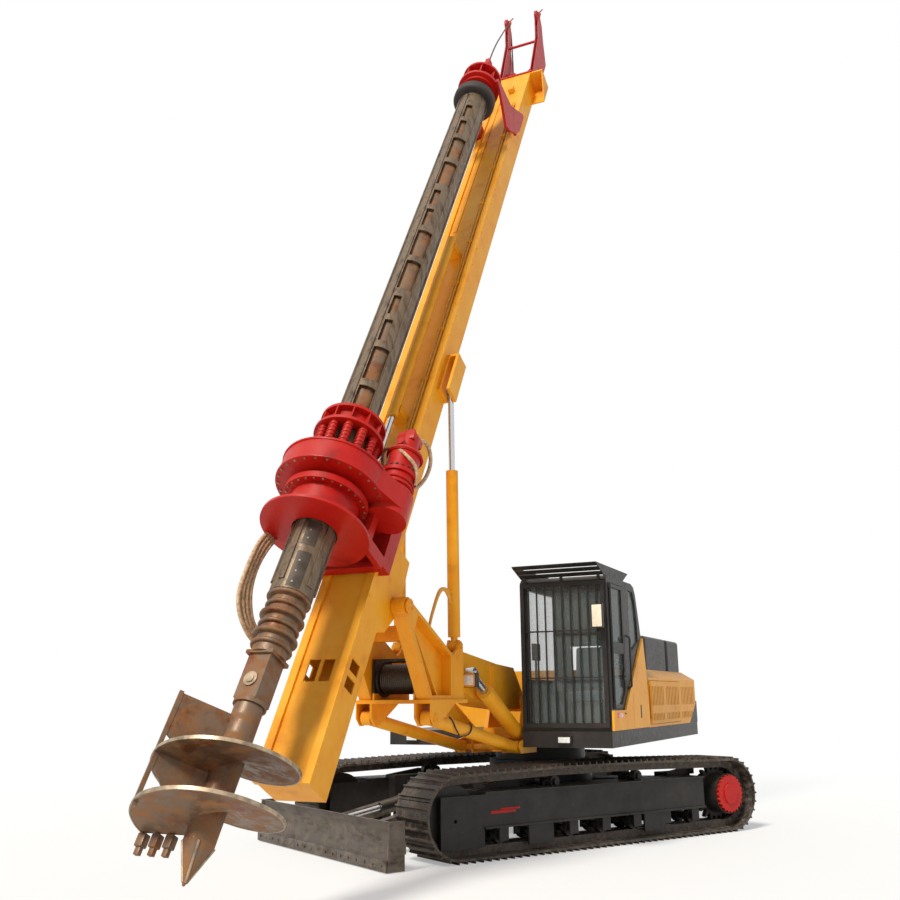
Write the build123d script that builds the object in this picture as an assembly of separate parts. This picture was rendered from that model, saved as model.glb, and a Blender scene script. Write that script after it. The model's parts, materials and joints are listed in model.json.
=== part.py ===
"""Rotary piling rig on a tracked carrier.

Own frame: millimetres, +Z up, Z = 0 at the ground, origin on the slew axis.
+Y is the direction of travel (towards the dozer blade), +X the machine's right.
The upper structure is modelled in its own frame, turned about Z by SLEW_DEG.
The mast is modelled upright about the drilling axis and leaned back about its pivot.
"""
from build123d import *
import os
from math import acos, atan2, cos, degrees, hypot, pi, radians, sin, sqrt

os.makedirs("parts", exist_ok=True)

# ---------------------------------------------------------------- arrangement
SLEW_DEG = 30.4            # upper structure turned to the machine's left
MAST_LEAN_DEG = 29.9       # mast leaned back from upright
PIN_FIT = 0.08             # radial clearance of a pin in its bore
OPEN_FIT = 1.0             # radial clearance at the linkage's open pivot
PAD_GAP = 0.5              # clearance of a guide pad on its rail
SIDE_GAP = 5.0             # side clearance between parts that move past each other
SEAT_GAP = 0.3             # gap between a moving part and the face it rides on

# ---------------------------------------------------------------- tracks
TRACK_HEIGHT = 911.0       # ground to the top of the belt, over the carrier rollers
END_R = 440.0              # radius of the belt about the idler and the sprocket
TRACK_GAUGE_HALF = 1176.0  # slew axis to the middle of a track
SHOE_WIDTH = 600.0
IDLER_Y = 2255.0
SPROCKET_Y = -1836.0
CARRIER_FRONT_Y = 880.0
CARRIER_REAR_Y = -386.0
SHOE_COUNT = 54
GROUSER_HEIGHT = 26.0
SHOE_THICKNESS = 16.0
CHAIN_DEPTH = 92.0
CHAIN_WIDTH = 70.0
CHAIN_HALF_PITCH = 95.0    # middle of the track to the middle of a chain side
BEND_SIDES = 14            # flat sides of the chain round half a turn
WHEEL_WIDTH = 250.0

# ---------------------------------------------------------------- track frame
FRAME_OUT_X = 1384.0
FRAME_IN_X = 968.0
FRAME_Z0 = 322.0
FRAME_Z1 = 648.0
FRAME_FRONT_Y = 1905.0
FRAME_REAR_Y = -1415.0
FLANGE_THICKNESS = 18.0
FLANGE_REACH = 26.0
ROLLER_R = 78.0
CARRIER_R = 66.0
YOKE_Z0 = 128.0
YOKE_Z1 = 640.0
YOKE_FRONT_Y = 2450.0
YOKE_WALL = 30.0
DRIVE_COVER_R = 222.0
DRIVE_COVER_TEETH = 24
DRIVE_COVER_X = 1436.0
DRIVE_INNER = 150.0        # middle of the track to the inner face of the final drive

# ---------------------------------------------------------------- carbody
BODY_R = 640.0
BODY_Z0 = 420.0
BODY_Z1 = 880.0
LEG_Z1 = 700.0
GUSSET_REACH = 72.0        # gusset over the track frame, clear of the belt
LEG_REACH_Y = 1400.0
LEG_WIDTH = 480.0
RING_R = 560.0
RING_BORE_R = 430.0
RING_DROP = 30.0           # upper bearing ring below the skirt

# ---------------------------------------------------------------- dozer blade
BLADE_HALF = 1473.0
BLADE_HEIGHT = 455.0
BLADE_CLEAR = 8.0          # cutting edge above the ground
BLADE_FACE_Y = 3130.0
BLADE_PLATE = 30.0
BLADE_CURVE = 95.0         # depth of the mouldboard's curve
END_PLATE = 24.0
ARM_X = 420.0
ARM_WIDTH = 110.0
ARM_PIVOT_Y = 1150.0
ARM_PIVOT_Z = 520.0
ARM_DEPTH = 130.0
BLADE_ROD_Y = 2950.0
BLADE_ROD_Z = 330.0
BLADE_CYL_Y = 1250.0
BLADE_CYL_Z = 620.0
BLADE_CYL_R = 52.0
BLADE_ROD_R = 28.0
BLADE_PIN_R = 22.0
BLADE_CYL_LENGTH = 1100.0
BLADE_LUG = 58.0           # lugs either side of the blade cylinder

# ---------------------------------------------------------------- deck
DECK_HALF = 1420.0
SKIRT_Z0 = 1080.0
SKIRT_Z1 = 1250.0
CAB_FRONT_Y = 1632.0
DECK_RIGHT_FRONT_Y = 1345.0
DECK_MID_FRONT_Y = 1205.0
DECK_REAR_Y = -2800.0
SKIRT_WALL = 40.0
COUNTERWEIGHT_FRONT_Y = -2330.0

# ---------------------------------------------------------------- engine house
HOUSE_FRONT_Y = -8.0
HOUSE_REAR_Y = -2770.0
HOUSE_TOP_Z = 1838.0
HOOD_TOP_Z = 1946.0
HOOD_CHAMFER = 115.0
HOOD_SLOPE_Y = -2430.0     # hood falls towards the tail from here
HOOD_TAIL_Z = 1850.0
BAY_ENDS = ((-98.0, -855.0), (-905.0, -1740.0), (-1800.0, -2680.0))  # louvred bays of the side
TAIL_CUT_Y = -2310.0       # lower rear corner of the side, cut to the counterweight
TAIL_CUT_Z = 1545.0
TAIL_REAR_Y = -2835.0
WEIGHT_BLOCK_TOP_Z = 1650.0
SHEET = 30.0

# ---------------------------------------------------------------- cab
CAB_IN_X = -402.0          # cab side next to the boom
CAB_REAR_Y = 90.0
CAB_TOP_Z = 2925.0
GUARD_TOP_Z = 2866.0
VISOR_Z0 = CAB_TOP_Z + SEAT_GAP
VISOR_Z1 = 3042.0
VISOR_REACH = 255.0        # flare of the visor's front and rear
VISOR_REAR_Y = 850.0
CAB_WALL = 40.0
PANE = 6.0                 # window glass
FAIRING = 24.0             # thickness of the yellow side panel
DOOR_Z0 = 1480.0
DOOR_FRONT_Y = 1522.0
DOOR_REAR_Y = 972.0
DOOR_CUT_Y = 1120.0        # slanted lower rear corner of the door: y at its sill
DOOR_CUT_Z = 1625.0        # and z at its rear edge
HINGE_R = 13.0
HINGE_PIN_R = 7.0
KNUCKLE = 60.0
HINGE_OUT = HINGE_R + SEAT_GAP  # wall to the hinge's axis

# ---------------------------------------------------------------- boom linkage
BOOM_FOOT_Y = 1000.0
BOOM_FOOT_Z = 1550.0
BOOM_RUN_Y = 2150.0        # foot pin to head pin, forwards
BOOM_RUN_Z = 350.0         # foot pin to head pin, upwards
LINK_REAR_Y = 1680.0
LINK_REAR_Z = 1085.0
BOOM_HALF = 190.0
BOOM_PIN_R = 45.0
LINK_X = 315.0
LINK_R = 62.0
LINK_PIN_R = 32.0
BOOM_CYL_X = 285.0
BOOM_CYL_FOOT_Y = 1320.0
BOOM_CYL_FOOT_Z = 1130.0
BOOM_CYL_EYE_Y = 2765.0
BOOM_CYL_EYE_Z = 1850.0
BOOM_CYL_R = 85.0
BOOM_ROD_R = 45.0
BOOM_CYL_LENGTH = 1250.0

# ---------------------------------------------------------------- support frame
SIDE_IN = 240.0
SIDE_OUT = 370.0
PIVOT_Y = 4345.0
PIVOT_Z = 2417.0
PIVOT_PIN_R = 50.0
PIVOT_BOSS_R = 82.0
BASE_Z = 1600.0
BASE_PLATE = 35.0
BASE_HALF = 395.0
BASE_FRONT_Y = 3930.0
BASE_REAR_Y = 3110.0
MAST_CYL_X = 305.0
MAST_CYL_FOOT_Y = 3215.0
MAST_CYL_FOOT_Z = 2110.0
WINCH_Y = 3740.0
WINCH_Z = 1790.0
WINCH_R = 120.0
WINCH_FLANGE_R = 165.0
WEB_RIM = 38.0             # height of the frame's lower flange
LAMP_X = 392.0
LAMP_Z = 1784.0

# ---------------------------------------------------------------- mast (its own frame:
# x across, y forwards from the drilling axis, z along the mast from the pivot's level)
KELLY_OFFSET = 1130.0      # drilling axis in front of the mast pivot
MAST_FRONT = -644.0
MAST_BACK = -969.0
MAST_HALF = 235.0
MAST_FOOT_Z = -1910.0
MAST_TOP_Z = 9060.0
MAST_WALL = 14.0
RAIL_PROUD = 26.0          # rail's front above the recessed face
RAIL_DEPTH = 52.0
RAIL_IN = 188.0
RAIL_OUT = 262.0
MAST_CYL_R = 62.0
MAST_ROD_R = 32.0
MAST_CYL_LENGTH = 1780.0
MAST_EYE_D = -921.0
MAST_EYE_Z = 2580.0
MAST_EYE_LANE = 35.0       # half the space between the bracket's cheeks
MAST_EYE_HALF = 34.7       # half the width of the rod's eye and pin
TOP_BOX_REACH = 190.0
CHANNEL_X = 120.0          # cable channel beside the middle of the face
CHANNEL_Z0 = 5200.0
CROWD_D = -500.0
CROWD_R = 55.0
CROWD_ROD_R = 30.0
CROWD_Z0 = 1840.0
CROWD_Z1 = 4780.0

# ---------------------------------------------------------------- rotary head (mast frame)
DRUM_R = 475.0
DRUM_Z0 = 420.0
DRUM_Z1 = 640.0
LOBE_R = 190.0
LOBE_X = 400.0
LOBE_D = -360.0
SLEEVE_BORE_R = 200.0
DISC_R = 476.0
DISC_Z = -16.0
DISC_THICKNESS = 26.0
DISC_BORE_R = 245.0
SPRING_COUNT = 12
SPRING_RING_R = 262.0
SPRING_R = 36.0
SPRING_Z1 = 1030.0
SPRING_TOP_R = 325.0

# ---------------------------------------------------------------- kelly and auger (mast frame)
KELLY_R = 177.5
KELLY_WALL = 14.0
KELLY_Z0 = -690.0
KELLY_Z1 = 7350.0
KEY_PROUD = 11.0
KEY_WIDTH = 52.0
INNER_R = 140.0
INNER_WALL = 12.0
STEM_R = 110.0
FLIGHT_R = 515.0
FLIGHT_PITCH = 350.0
FLIGHT_Z0 = -2590.0
FLIGHT_TURNS = 2
FLIGHT_THICKNESS = 22.0
BRACE_ANGLE = 52.0         # brace bar and plate, forward from the right-hand side
BRACE_TOP_Z = -1745.0
BRACE_HALF = 11.0
TOOTH_COUNT = 3
TOOTH_HALF = 24.0
TIP_Z = -2927.0
RING_Z = 7060.0
SWIVEL_EYE_R = 22.0

S_LOC = Rot(0, 0, SLEW_DEG)
M_LOC = S_LOC * Pos(0, PIVOT_Y, PIVOT_Z) * Rot(MAST_LEAN_DEG, 0, 0) * Pos(0, KELLY_OFFSET, 0)


# ================================================================ shape helpers
def box(x0, x1, y0, y1, z0, z1):
    """Box between low and high faces."""
    return Pos((x0 + x1) / 2, (y0 + y1) / 2, (z0 + z1) / 2) * Box(x1 - x0, y1 - y0, z1 - z0)


def side_plate(points, x0, x1):
    """Outline of (y, z) points, extruded across the machine from x0 to x1."""
    face = Plane.YZ * make_face(Polyline(*points, close=True))
    return Pos(x0, 0, 0) * extrude(face, amount=x1 - x0, dir=(1, 0, 0))


def end_plate(points, y0, y1):
    """Outline of (x, z) points, extruded along the machine from y0 to y1."""
    face = Plane.XZ * make_face(Polyline(*points, close=True))
    return Pos(0, y1, 0) * extrude(face, amount=y1 - y0, dir=(0, -1, 0))


def plan_plate(points, z0, z1):
    """Outline of (x, y) points, extruded upwards from z0 to z1."""
    return Pos(0, 0, z0) * extrude(make_face(Polyline(*points, close=True)), amount=z1 - z0)


def bar_x(y, z, r, x0, x1):
    """Round bar across the machine."""
    return Pos((x0 + x1) / 2, y, z) * Rot(0, 90, 0) * Cylinder(r, x1 - x0)


def post(x, y, r, z0, z1):
    """Upright round bar."""
    return Pos(x, y, (z0 + z1) / 2) * Cylinder(r, z1 - z0)


def ring(x, y, r_out, r_in, z0, z1):
    """Upright tube."""
    return post(x, y, r_out, z0, z1) - post(x, y, r_in, z0 - 1, z1 + 1)


def rod_between(x, start, end, r, from_start=0.0, length=None):
    """Round bar in the plane x, along the line from start to end, both (y, z)."""
    span = hypot(end[0] - start[0], end[1] - start[1])
    uy, uz = (end[0] - start[0]) / span, (end[1] - start[1]) / span
    length = span - from_start if length is None else length
    origin = (x, start[0] + uy * from_start, start[1] + uz * from_start)
    lower = (Align.CENTER, Align.CENTER, Align.MIN)
    return Plane(origin=origin, z_dir=(0, uy, uz)) * Cylinder(r, length, align=lower)


def hinge_fixed(x, y, z0, z1, leaf_x, leaf_y):
    """Upright hinge, carrier's half: end knuckles on leaves, and the pin between them."""
    pieces = [post(x, y, HINGE_PIN_R, z0 + 1, z1 - 1)]
    for low, high in ((z0, z0 + KNUCKLE), (z1 - KNUCKLE, z1)):
        pieces.append(post(x, y, HINGE_R, low, high))
        pieces.append(box(*sorted((x, leaf_x)), *sorted((y, leaf_y)), low, high))
    return pieces


def hinge_moving(x, y, z0, z1, leaf_x, leaf_y):
    """Upright hinge, door's half: a long barrel on its leaf, bored for the pin."""
    low, high = z0 + KNUCKLE + SEAT_GAP, z1 - KNUCKLE - SEAT_GAP
    barrel = post(x, y, HINGE_R, low, high)
    leaf = box(*sorted((x, leaf_x)), *sorted((y, leaf_y)), low, high)
    return barrel + leaf, post(x, y, HINGE_PIN_R + PIN_FIT, low - 1, high + 1)


def fuse(pieces):
    """One solid (or several that don't touch) from a list of shapes."""
    first, rest = pieces[0], pieces[1:]
    return first + rest if rest else first


def save(node, shape, place=None):
    """Write one sub-part, set in its place in the machine."""
    solids = shape if isinstance(shape, list) else [shape]
    flat = [solid for item in solids for solid in item.solids()]
    if place is not None:
        flat = [place * solid for solid in flat]
    export_step(flat[0] if len(flat) == 1 else Compound(children=flat), f"parts/{node}.step")


# ================================================================ undercarriage
PLATE_R = END_R - GROUSER_HEIGHT
CHAIN_R = PLATE_R - SHOE_THICKNESS
INNER_LOOP_R = CHAIN_R - CHAIN_DEPTH
WHEEL_R = INNER_LOOP_R - SEAT_GAP
CARRIER_Z = TRACK_HEIGHT - (END_R - WHEEL_R) - CARRIER_R
# wheels inside the belt, from the idler backwards over the top: y, z, radius
WHEELS = ((IDLER_Y, END_R, WHEEL_R), (CARRIER_FRONT_Y, CARRIER_Z, CARRIER_R),
          (CARRIER_REAR_Y, CARRIER_Z, CARRIER_R), (SPROCKET_Y, END_R, WHEEL_R))


def run_between(first, second):
    """Straight run from one wheel to the next: the angle of its outward normal, and its length."""
    dy, dz, step = second[0] - first[0], second[1] - first[1], first[2] - second[2]
    return atan2(dz, dy) - acos(step / hypot(dy, dz)), sqrt(dy * dy + dz * dz - step * step)


def belt_bends():
    """For each wheel: y, z, radius, angle where the belt meets it, turn about it, run that follows."""
    bends = []
    for i, wheel in enumerate(WHEELS):
        meets, _ = run_between(WHEELS[i - 1], wheel)
        leaves, run = run_between(wheel, WHEELS[(i + 1) % len(WHEELS)])
        bends.append((*wheel, meets, (leaves - meets) % (2 * pi), run))
    return bends


def belt_point(s, lift):
    """Point (y, z) at travel s along the belt's inner face of the shoes, lifted off the wheels by lift."""
    depth = CHAIN_R - WHEEL_R
    for y, z, r, meets, turn, run in belt_bends():
        bend = (r + depth) * turn
        a = meets + min(s / (r + depth), turn)
        along = min(max(s - bend, 0), run)
        if s <= bend + run:
            return (y + (r + lift) * cos(a) - along * sin(a), z + (r + lift) * sin(a) + along * cos(a))
        s -= bend + run
    return belt_point(0, lift)


def belt_loop(lift, sides):
    """Closed outline (y, z) about the wheels, its straight sides all lift or more from them."""
    points = []
    for y, z, r, meets, turn, _ in belt_bends():
        count = max(1, round(sides * turn / pi))
        corner = (r + lift) / cos(turn / count / 2)
        for i in range(count):
            a = meets + turn * (i + 0.5) / count
            points.append((y + corner * cos(a), z + corner * sin(a)))
    return points


def make_track(side):
    """Endless belt of shoes with two grousers each, and the two chain sides that carry them."""
    depth = CHAIN_R - WHEEL_R
    plate, tip = PLATE_R - WHEEL_R, END_R - WHEEL_R
    pitch = sum((r + depth) * turn + run for _, _, r, _, turn, run in belt_bends()) / SHOE_COUNT
    # one shoe's profile: share of the pitch, height above the wheels
    shoe = [(0.02, plate), (0.13, plate), (0.16, tip), (0.22, tip), (0.26, plate), (0.62, plate),
            (0.65, tip), (0.71, tip), (0.75, plate), (0.98, plate), (1.00, depth + 1)]
    rim = [belt_point((i + share) * pitch, lift) for i in range(SHOE_COUNT) for share, lift in shoe]
    belt = side_plate(rim, -SHOE_WIDTH / 2, SHOE_WIDTH / 2)
    belt = belt - side_plate(belt_loop(depth - SHOE_THICKNESS / 2, BEND_SIDES), -SHOE_WIDTH, SHOE_WIDTH)
    for x in (-CHAIN_HALF_PITCH, CHAIN_HALF_PITCH):
        loop = belt_loop(depth - SHOE_THICKNESS / 4, BEND_SIDES)
        outer = side_plate(loop, -CHAIN_WIDTH / 2, CHAIN_WIDTH / 2)
        inner = side_plate(belt_loop(SEAT_GAP, BEND_SIDES), -CHAIN_WIDTH, CHAIN_WIDTH)
        belt = belt + Pos(x, 0, 0) * (outer - inner)
    return Pos(side * TRACK_GAUGE_HALF, 0, 0) * belt


def make_track_frame():
    """Long box of the right track with its flanges, rollers and the idler's yoke."""
    x0, x1 = FRAME_IN_X, FRAME_OUT_X
    mid = TRACK_GAUGE_HALF
    rear = FRAME_REAR_Y
    pieces = [box(x0, x1, rear, FRAME_FRONT_Y, FRAME_Z0, FRAME_Z1)]
    for z in (FRAME_Z0 - FLANGE_THICKNESS, FRAME_Z1):
        pieces.append(box(x0, x1 + FLANGE_REACH, rear, FRAME_FRONT_Y, z, z + FLANGE_THICKNESS))
    # yoke plates either side of the idler
    for xa in (x0, x1 - YOKE_WALL):
        pieces.append(box(xa, xa + YOKE_WALL, FRAME_FRONT_Y, YOKE_FRONT_Y, YOKE_Z0, YOKE_Z1))
    # idler wheel on its axle between the yoke plates
    pieces.append(bar_x(IDLER_Y, END_R, WHEEL_R, mid - WHEEL_WIDTH / 2, mid + WHEEL_WIDTH / 2))
    pieces.append(bar_x(IDLER_Y, END_R, 120, x0 + 1, x1 - 1))
    # arm that carries the final drive, on the inner side of the sprocket
    pieces.append(box(x0, mid - DRIVE_INNER, SPROCKET_Y - 200, rear + 1, FRAME_Z0, FRAME_Z1 - 40))
    roller_z = END_R - INNER_LOOP_R + SEAT_GAP + ROLLER_R
    first, last, count = 1650.0, -1250.0, 7
    for i in range(count):
        y = first + (last - first) * i / (count - 1)
        for x in (-CHAIN_HALF_PITCH, CHAIN_HALF_PITCH):
            pieces.append(bar_x(y, roller_z, ROLLER_R, mid + x - 40, mid + x + 40))
        pieces.append(bar_x(y, roller_z, 36, x0 + 20, x1 - 4))
        for xa in (x0 + 20, x1 - 26):
            pieces.append(box(xa, xa + 22, y - 60, y + 60, roller_z - 45, FRAME_Z0))
    for y in (CARRIER_FRONT_Y, CARRIER_REAR_Y):
        for x in (-CHAIN_HALF_PITCH, CHAIN_HALF_PITCH):
            pieces.append(bar_x(y, CARRIER_Z, CARRIER_R, mid + x - 40, mid + x + 40))
        pieces.append(bar_x(y, CARRIER_Z, 34, mid - CHAIN_HALF_PITCH, x1 - 40))
        pieces.append(box(mid - 25, mid + 25, y - 50, y + 50, FRAME_Z1, CARRIER_Z))
    # bottom guards hung from the lower flange
    for y in (1150.0, -560.0):
        pieces.append(box(x1 - 26, x1, y - 170, y + 170, 105, FRAME_Z0))
    frame = fuse(pieces)
    hole = bar_x(IDLER_Y + 15, END_R - 40, 20, x1 - YOKE_WALL - 1, x1 + 1)
    frame = frame - hole
    return [frame, mirror(frame, about=Plane.YZ)]


def make_sprockets():
    """Rear sprockets: toothed ring and the drive housing they turn on."""
    teeth = 21
    r_root, r_tip = INNER_LOOP_R - 30, INNER_LOOP_R + CHAIN_DEPTH * 0.45
    points = []
    for i in range(teeth):
        for share, r in ((-0.30, r_root), (-0.12, r_tip), (0.12, r_tip), (0.30, r_root)):
            a = 2 * pi * (i + share) / teeth
            points.append((SPROCKET_Y + r * cos(a), END_R + r * sin(a)))
    disc = side_plate(points, -28, 28)
    hub_out = DRIVE_COVER_X - TRACK_GAUGE_HALF - 34
    hub = bar_x(SPROCKET_Y, END_R, 235, -DRIVE_INNER, hub_out)
    right = Pos(TRACK_GAUGE_HALF, 0, 0) * fuse([disc, hub])
    return [right, mirror(right, about=Plane.YZ)]


def make_drive_covers():
    """Scalloped covers on the final drives."""
    points = []
    for i in range(DRIVE_COVER_TEETH):
        for share, r in ((-0.25, DRIVE_COVER_R - 16), (-0.12, DRIVE_COVER_R),
                         (0.12, DRIVE_COVER_R), (0.25, DRIVE_COVER_R - 16)):
            a = 2 * pi * (i + share) / DRIVE_COVER_TEETH
            points.append((SPROCKET_Y + r * cos(a), END_R + r * sin(a)))
    right = fuse([side_plate(points, DRIVE_COVER_X - 34, DRIVE_COVER_X),
                  bar_x(SPROCKET_Y, END_R, 120, DRIVE_COVER_X, DRIVE_COVER_X + 14)])
    return [right, mirror(right, about=Plane.YZ)]


def make_carbody():
    """Centre of the undercarriage: round tower and four legs to the track frames."""
    pieces = [post(0, 0, BODY_R, BODY_Z0, BODY_Z1)]
    for sx in (-1, 1):
        for sy in (-1, 1):
            x, y, half = sx * FRAME_IN_X, sy * LEG_REACH_Y, LEG_WIDTH / 2
            outline = [(0, sy * 60), (sx * 60, 0), (x, y - sy * half), (x, y + sy * half), (0, sy * 520)]
            pieces.append(plan_plate(outline, BODY_Z0, LEG_Z1 - 60))
            # sloping gusset that climbs onto the track frame
            flange = FRAME_Z1 + FLANGE_THICKNESS
            gusset = side_plate([(y - half, flange), (y + half, flange), (y + half, LEG_Z1),
                                 (y - half, LEG_Z1 + 60)], 0, GUSSET_REACH)
            start = x if sx > 0 else x - GUSSET_REACH
            pieces.append(Pos(start, 0, 0) * gusset)
            low, high = sorted((x - sx * 150, x))
            pieces.append(box(low, high, y - half, y + half, BODY_Z0, LEG_Z1))
    # pivot lugs of the blade arms and of the blade cylinder
    lug = ARM_PIVOT_Y - 140
    for x in (ARM_X, -ARM_X):
        for xa in (x - ARM_WIDTH / 2 - SIDE_GAP - 30, x + ARM_WIDTH / 2 + SIDE_GAP):
            pieces.append(box(xa, xa + 30, lug - 420, ARM_PIVOT_Y + 60, BODY_Z0 + 10, ARM_PIVOT_Z + 70))
        pieces.append(bar_x(ARM_PIVOT_Y, ARM_PIVOT_Z, 30, x - ARM_WIDTH / 2 - 30, x + ARM_WIDTH / 2 + 30))
    for xa in (-BLADE_LUG - 30, BLADE_LUG):
        pieces.append(box(xa, xa + 30, 500, BLADE_CYL_Y + 45, BLADE_CYL_Z - 60, BLADE_CYL_Z + 50))
    pieces.append(bar_x(BLADE_CYL_Y, BLADE_CYL_Z, BLADE_PIN_R, -BLADE_LUG - 10, BLADE_LUG + 10))
    # lower ring of the slewing bearing
    pieces.append(ring(0, 0, RING_R, RING_BORE_R, BODY_Z1 - 1, SKIRT_Z0 - RING_DROP - SEAT_GAP))
    return fuse(pieces)


def make_blade():
    """Curved mouldboard with end plates, push arms and the rod's lugs."""
    z0, z1 = BLADE_CLEAR, BLADE_CLEAR + BLADE_HEIGHT
    y = BLADE_FACE_Y
    with BuildSketch(Plane.YZ) as profile:
        with BuildLine():
            front = ThreePointArc((y, z0), (y - BLADE_CURVE, (z0 + z1) / 2), (y - 20, z1))
            Line((y - 20, z1), (y - 20 - BLADE_PLATE, z1))
            ThreePointArc((y - 20 - BLADE_PLATE, z1), (y - BLADE_CURVE - BLADE_PLATE, (z0 + z1) / 2),
                          (y - BLADE_PLATE, z0))
            Line((y - BLADE_PLATE, z0), (y, z0))
        make_face()
    board = extrude(profile.sketch, amount=BLADE_HALF, both=True)
    pieces = [board]
    ends = [(y - 8, z0), (y - 26, z1), (y - 200, z1), (y - 200, z0)]
    for x in (-BLADE_HALF, BLADE_HALF - END_PLATE):
        pieces.append(side_plate(ends, x, x + END_PLATE))
    back = y - BLADE_CURVE - BLADE_PLATE
    pieces.append(box(-BLADE_HALF, BLADE_HALF, back - 90, back + 25, z0 + 150, z0 + 260))
    for x in (ARM_X, -ARM_X):
        arm = side_plate([(back - 10, z0 + 90), (back - 10, z0 + 260), (ARM_PIVOT_Y + 250, ARM_PIVOT_Z + 60),
                          (ARM_PIVOT_Y, ARM_PIVOT_Z + 60), (ARM_PIVOT_Y, ARM_PIVOT_Z - 60),
                          (ARM_PIVOT_Y + 250, ARM_PIVOT_Z - 70)], x - ARM_WIDTH / 2, x + ARM_WIDTH / 2)
        eye = bar_x(ARM_PIVOT_Y, ARM_PIVOT_Z, 60, x - ARM_WIDTH / 2, x + ARM_WIDTH / 2)
        bore = bar_x(ARM_PIVOT_Y, ARM_PIVOT_Z, 30 + PIN_FIT, x - ARM_WIDTH, x + ARM_WIDTH)
        pieces.append(arm + eye - bore)
    for xa in (-65, 35):
        pieces.append(box(xa, xa + 30, BLADE_ROD_Y - 45, back + 10, z0 + 200, BLADE_ROD_Z + 45))
    return fuse(pieces)


def eye_and_bore(y, z, r, pin_r, half):
    """Eye of a cylinder end as (solid, cutting bore)."""
    return bar_x(y, z, r, -half, half), bar_x(y, z, pin_r + PIN_FIT, -half - 5, half + 5)


def make_cylinder_tube(x, foot, eye, r, rod_r, length, eye_half, pin_r, eye_r, neck):
    """Hydraulic tube from its foot pin, with a necked eye, bored for the rod."""
    lug, bore = eye_and_bore(foot[0], foot[1], eye_r, pin_r, eye_half)
    shank = rod_between(0, foot, eye, min(eye_half, r), 0, neck + 20)
    tube = rod_between(0, foot, eye, r, neck, length - neck)
    inside = rod_between(0, foot, eye, rod_r + SEAT_GAP, neck + 30, length)
    return Pos(x, 0, 0) * ((tube + [lug, shank]) - inside - bore)


def make_cylinder_rod(x, foot, eye, rod_r, start, eye_half, eye_r):
    """Rod from inside the tube to its eye."""
    rod = rod_between(0, foot, eye, rod_r, start)
    lug = bar_x(eye[0], eye[1], eye_r, -eye_half, eye_half)
    return Pos(x, 0, 0) * (rod + lug)


BLADE_FOOT = (BLADE_CYL_Y, BLADE_CYL_Z)
BLADE_EYE = (BLADE_ROD_Y, BLADE_ROD_Z)
BOOM_CYL_FOOT = (BOOM_CYL_FOOT_Y, BOOM_CYL_FOOT_Z)
BOOM_CYL_EYE = (BOOM_CYL_EYE_Y, BOOM_CYL_EYE_Z)
BOOM_FOOT = (BOOM_FOOT_Y, BOOM_FOOT_Z)
BOOM_HEAD = (BOOM_FOOT_Y + BOOM_RUN_Y, BOOM_FOOT_Z + BOOM_RUN_Z)
LINK_REAR = (LINK_REAR_Y, LINK_REAR_Z)
LINK_FRONT = (LINK_REAR_Y + BOOM_RUN_Y, LINK_REAR_Z + BOOM_RUN_Z)
MAST_CYL_FOOT = (MAST_CYL_FOOT_Y, MAST_CYL_FOOT_Z)


def mast_to_side(y, z):
    """Point of the mast frame as (y, z) in the upper structure's frame."""
    a = radians(MAST_LEAN_DEG)
    dy = y + KELLY_OFFSET
    return (PIVOT_Y + dy * cos(a) - z * sin(a), PIVOT_Z + dy * sin(a) + z * cos(a))


MAST_EYE = mast_to_side(MAST_EYE_D, MAST_EYE_Z)


# ================================================================ upper structure
def make_deck():
    """Platform: bottom plate, skirts, top plate and the brackets of the boom linkage."""
    half, rear = DECK_HALF, DECK_REAR_Y
    # outline (x, y): the cab's corner reaches further forwards than the rest
    plan = [(-half, CAB_FRONT_Y), (CAB_IN_X, CAB_FRONT_Y), (CAB_IN_X, DECK_MID_FRONT_Y),
            (420, DECK_MID_FRONT_Y), (420, DECK_RIGHT_FRONT_Y), (half, DECK_RIGHT_FRONT_Y),
            (half, rear), (-half, rear)]
    body = plan_plate(plan, SKIRT_Z0, SKIRT_Z1)
    # the skirt is a rim, open below
    pockets = [box(-half + SKIRT_WALL, -430, DECK_MID_FRONT_Y - 300, CAB_FRONT_Y - SKIRT_WALL,
                   SKIRT_Z0 - 1, SKIRT_Z1 - 30),
               box(470, half - SKIRT_WALL, -900, DECK_RIGHT_FRONT_Y - SKIRT_WALL, SKIRT_Z0 - 1, SKIRT_Z1 - 30),
               box(-half + SKIRT_WALL, -680, -2000, 800, SKIRT_Z0 - 1, SKIRT_Z1 - 30)]
    for pocket in pockets:
        body = body - pocket
    pieces = [body, ring(0, 0, RING_R - 20, RING_BORE_R + 20, SKIRT_Z0 - RING_DROP, SKIRT_Z0 + 1)]
    # lamps on the front skirt: middle x and the skirt's face
    for x, face in ((-890, CAB_FRONT_Y), (1110, DECK_RIGHT_FRONT_Y)):
        pieces.append(box(x - LAMP_HALF, x + LAMP_HALF, face - 1, face + 38, SKIRT_Z0 + 40, SKIRT_Z0 + 125))
    return fuse(pieces)


LAMP_HALF = 82.0           # half the width of a skirt lamp


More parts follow.
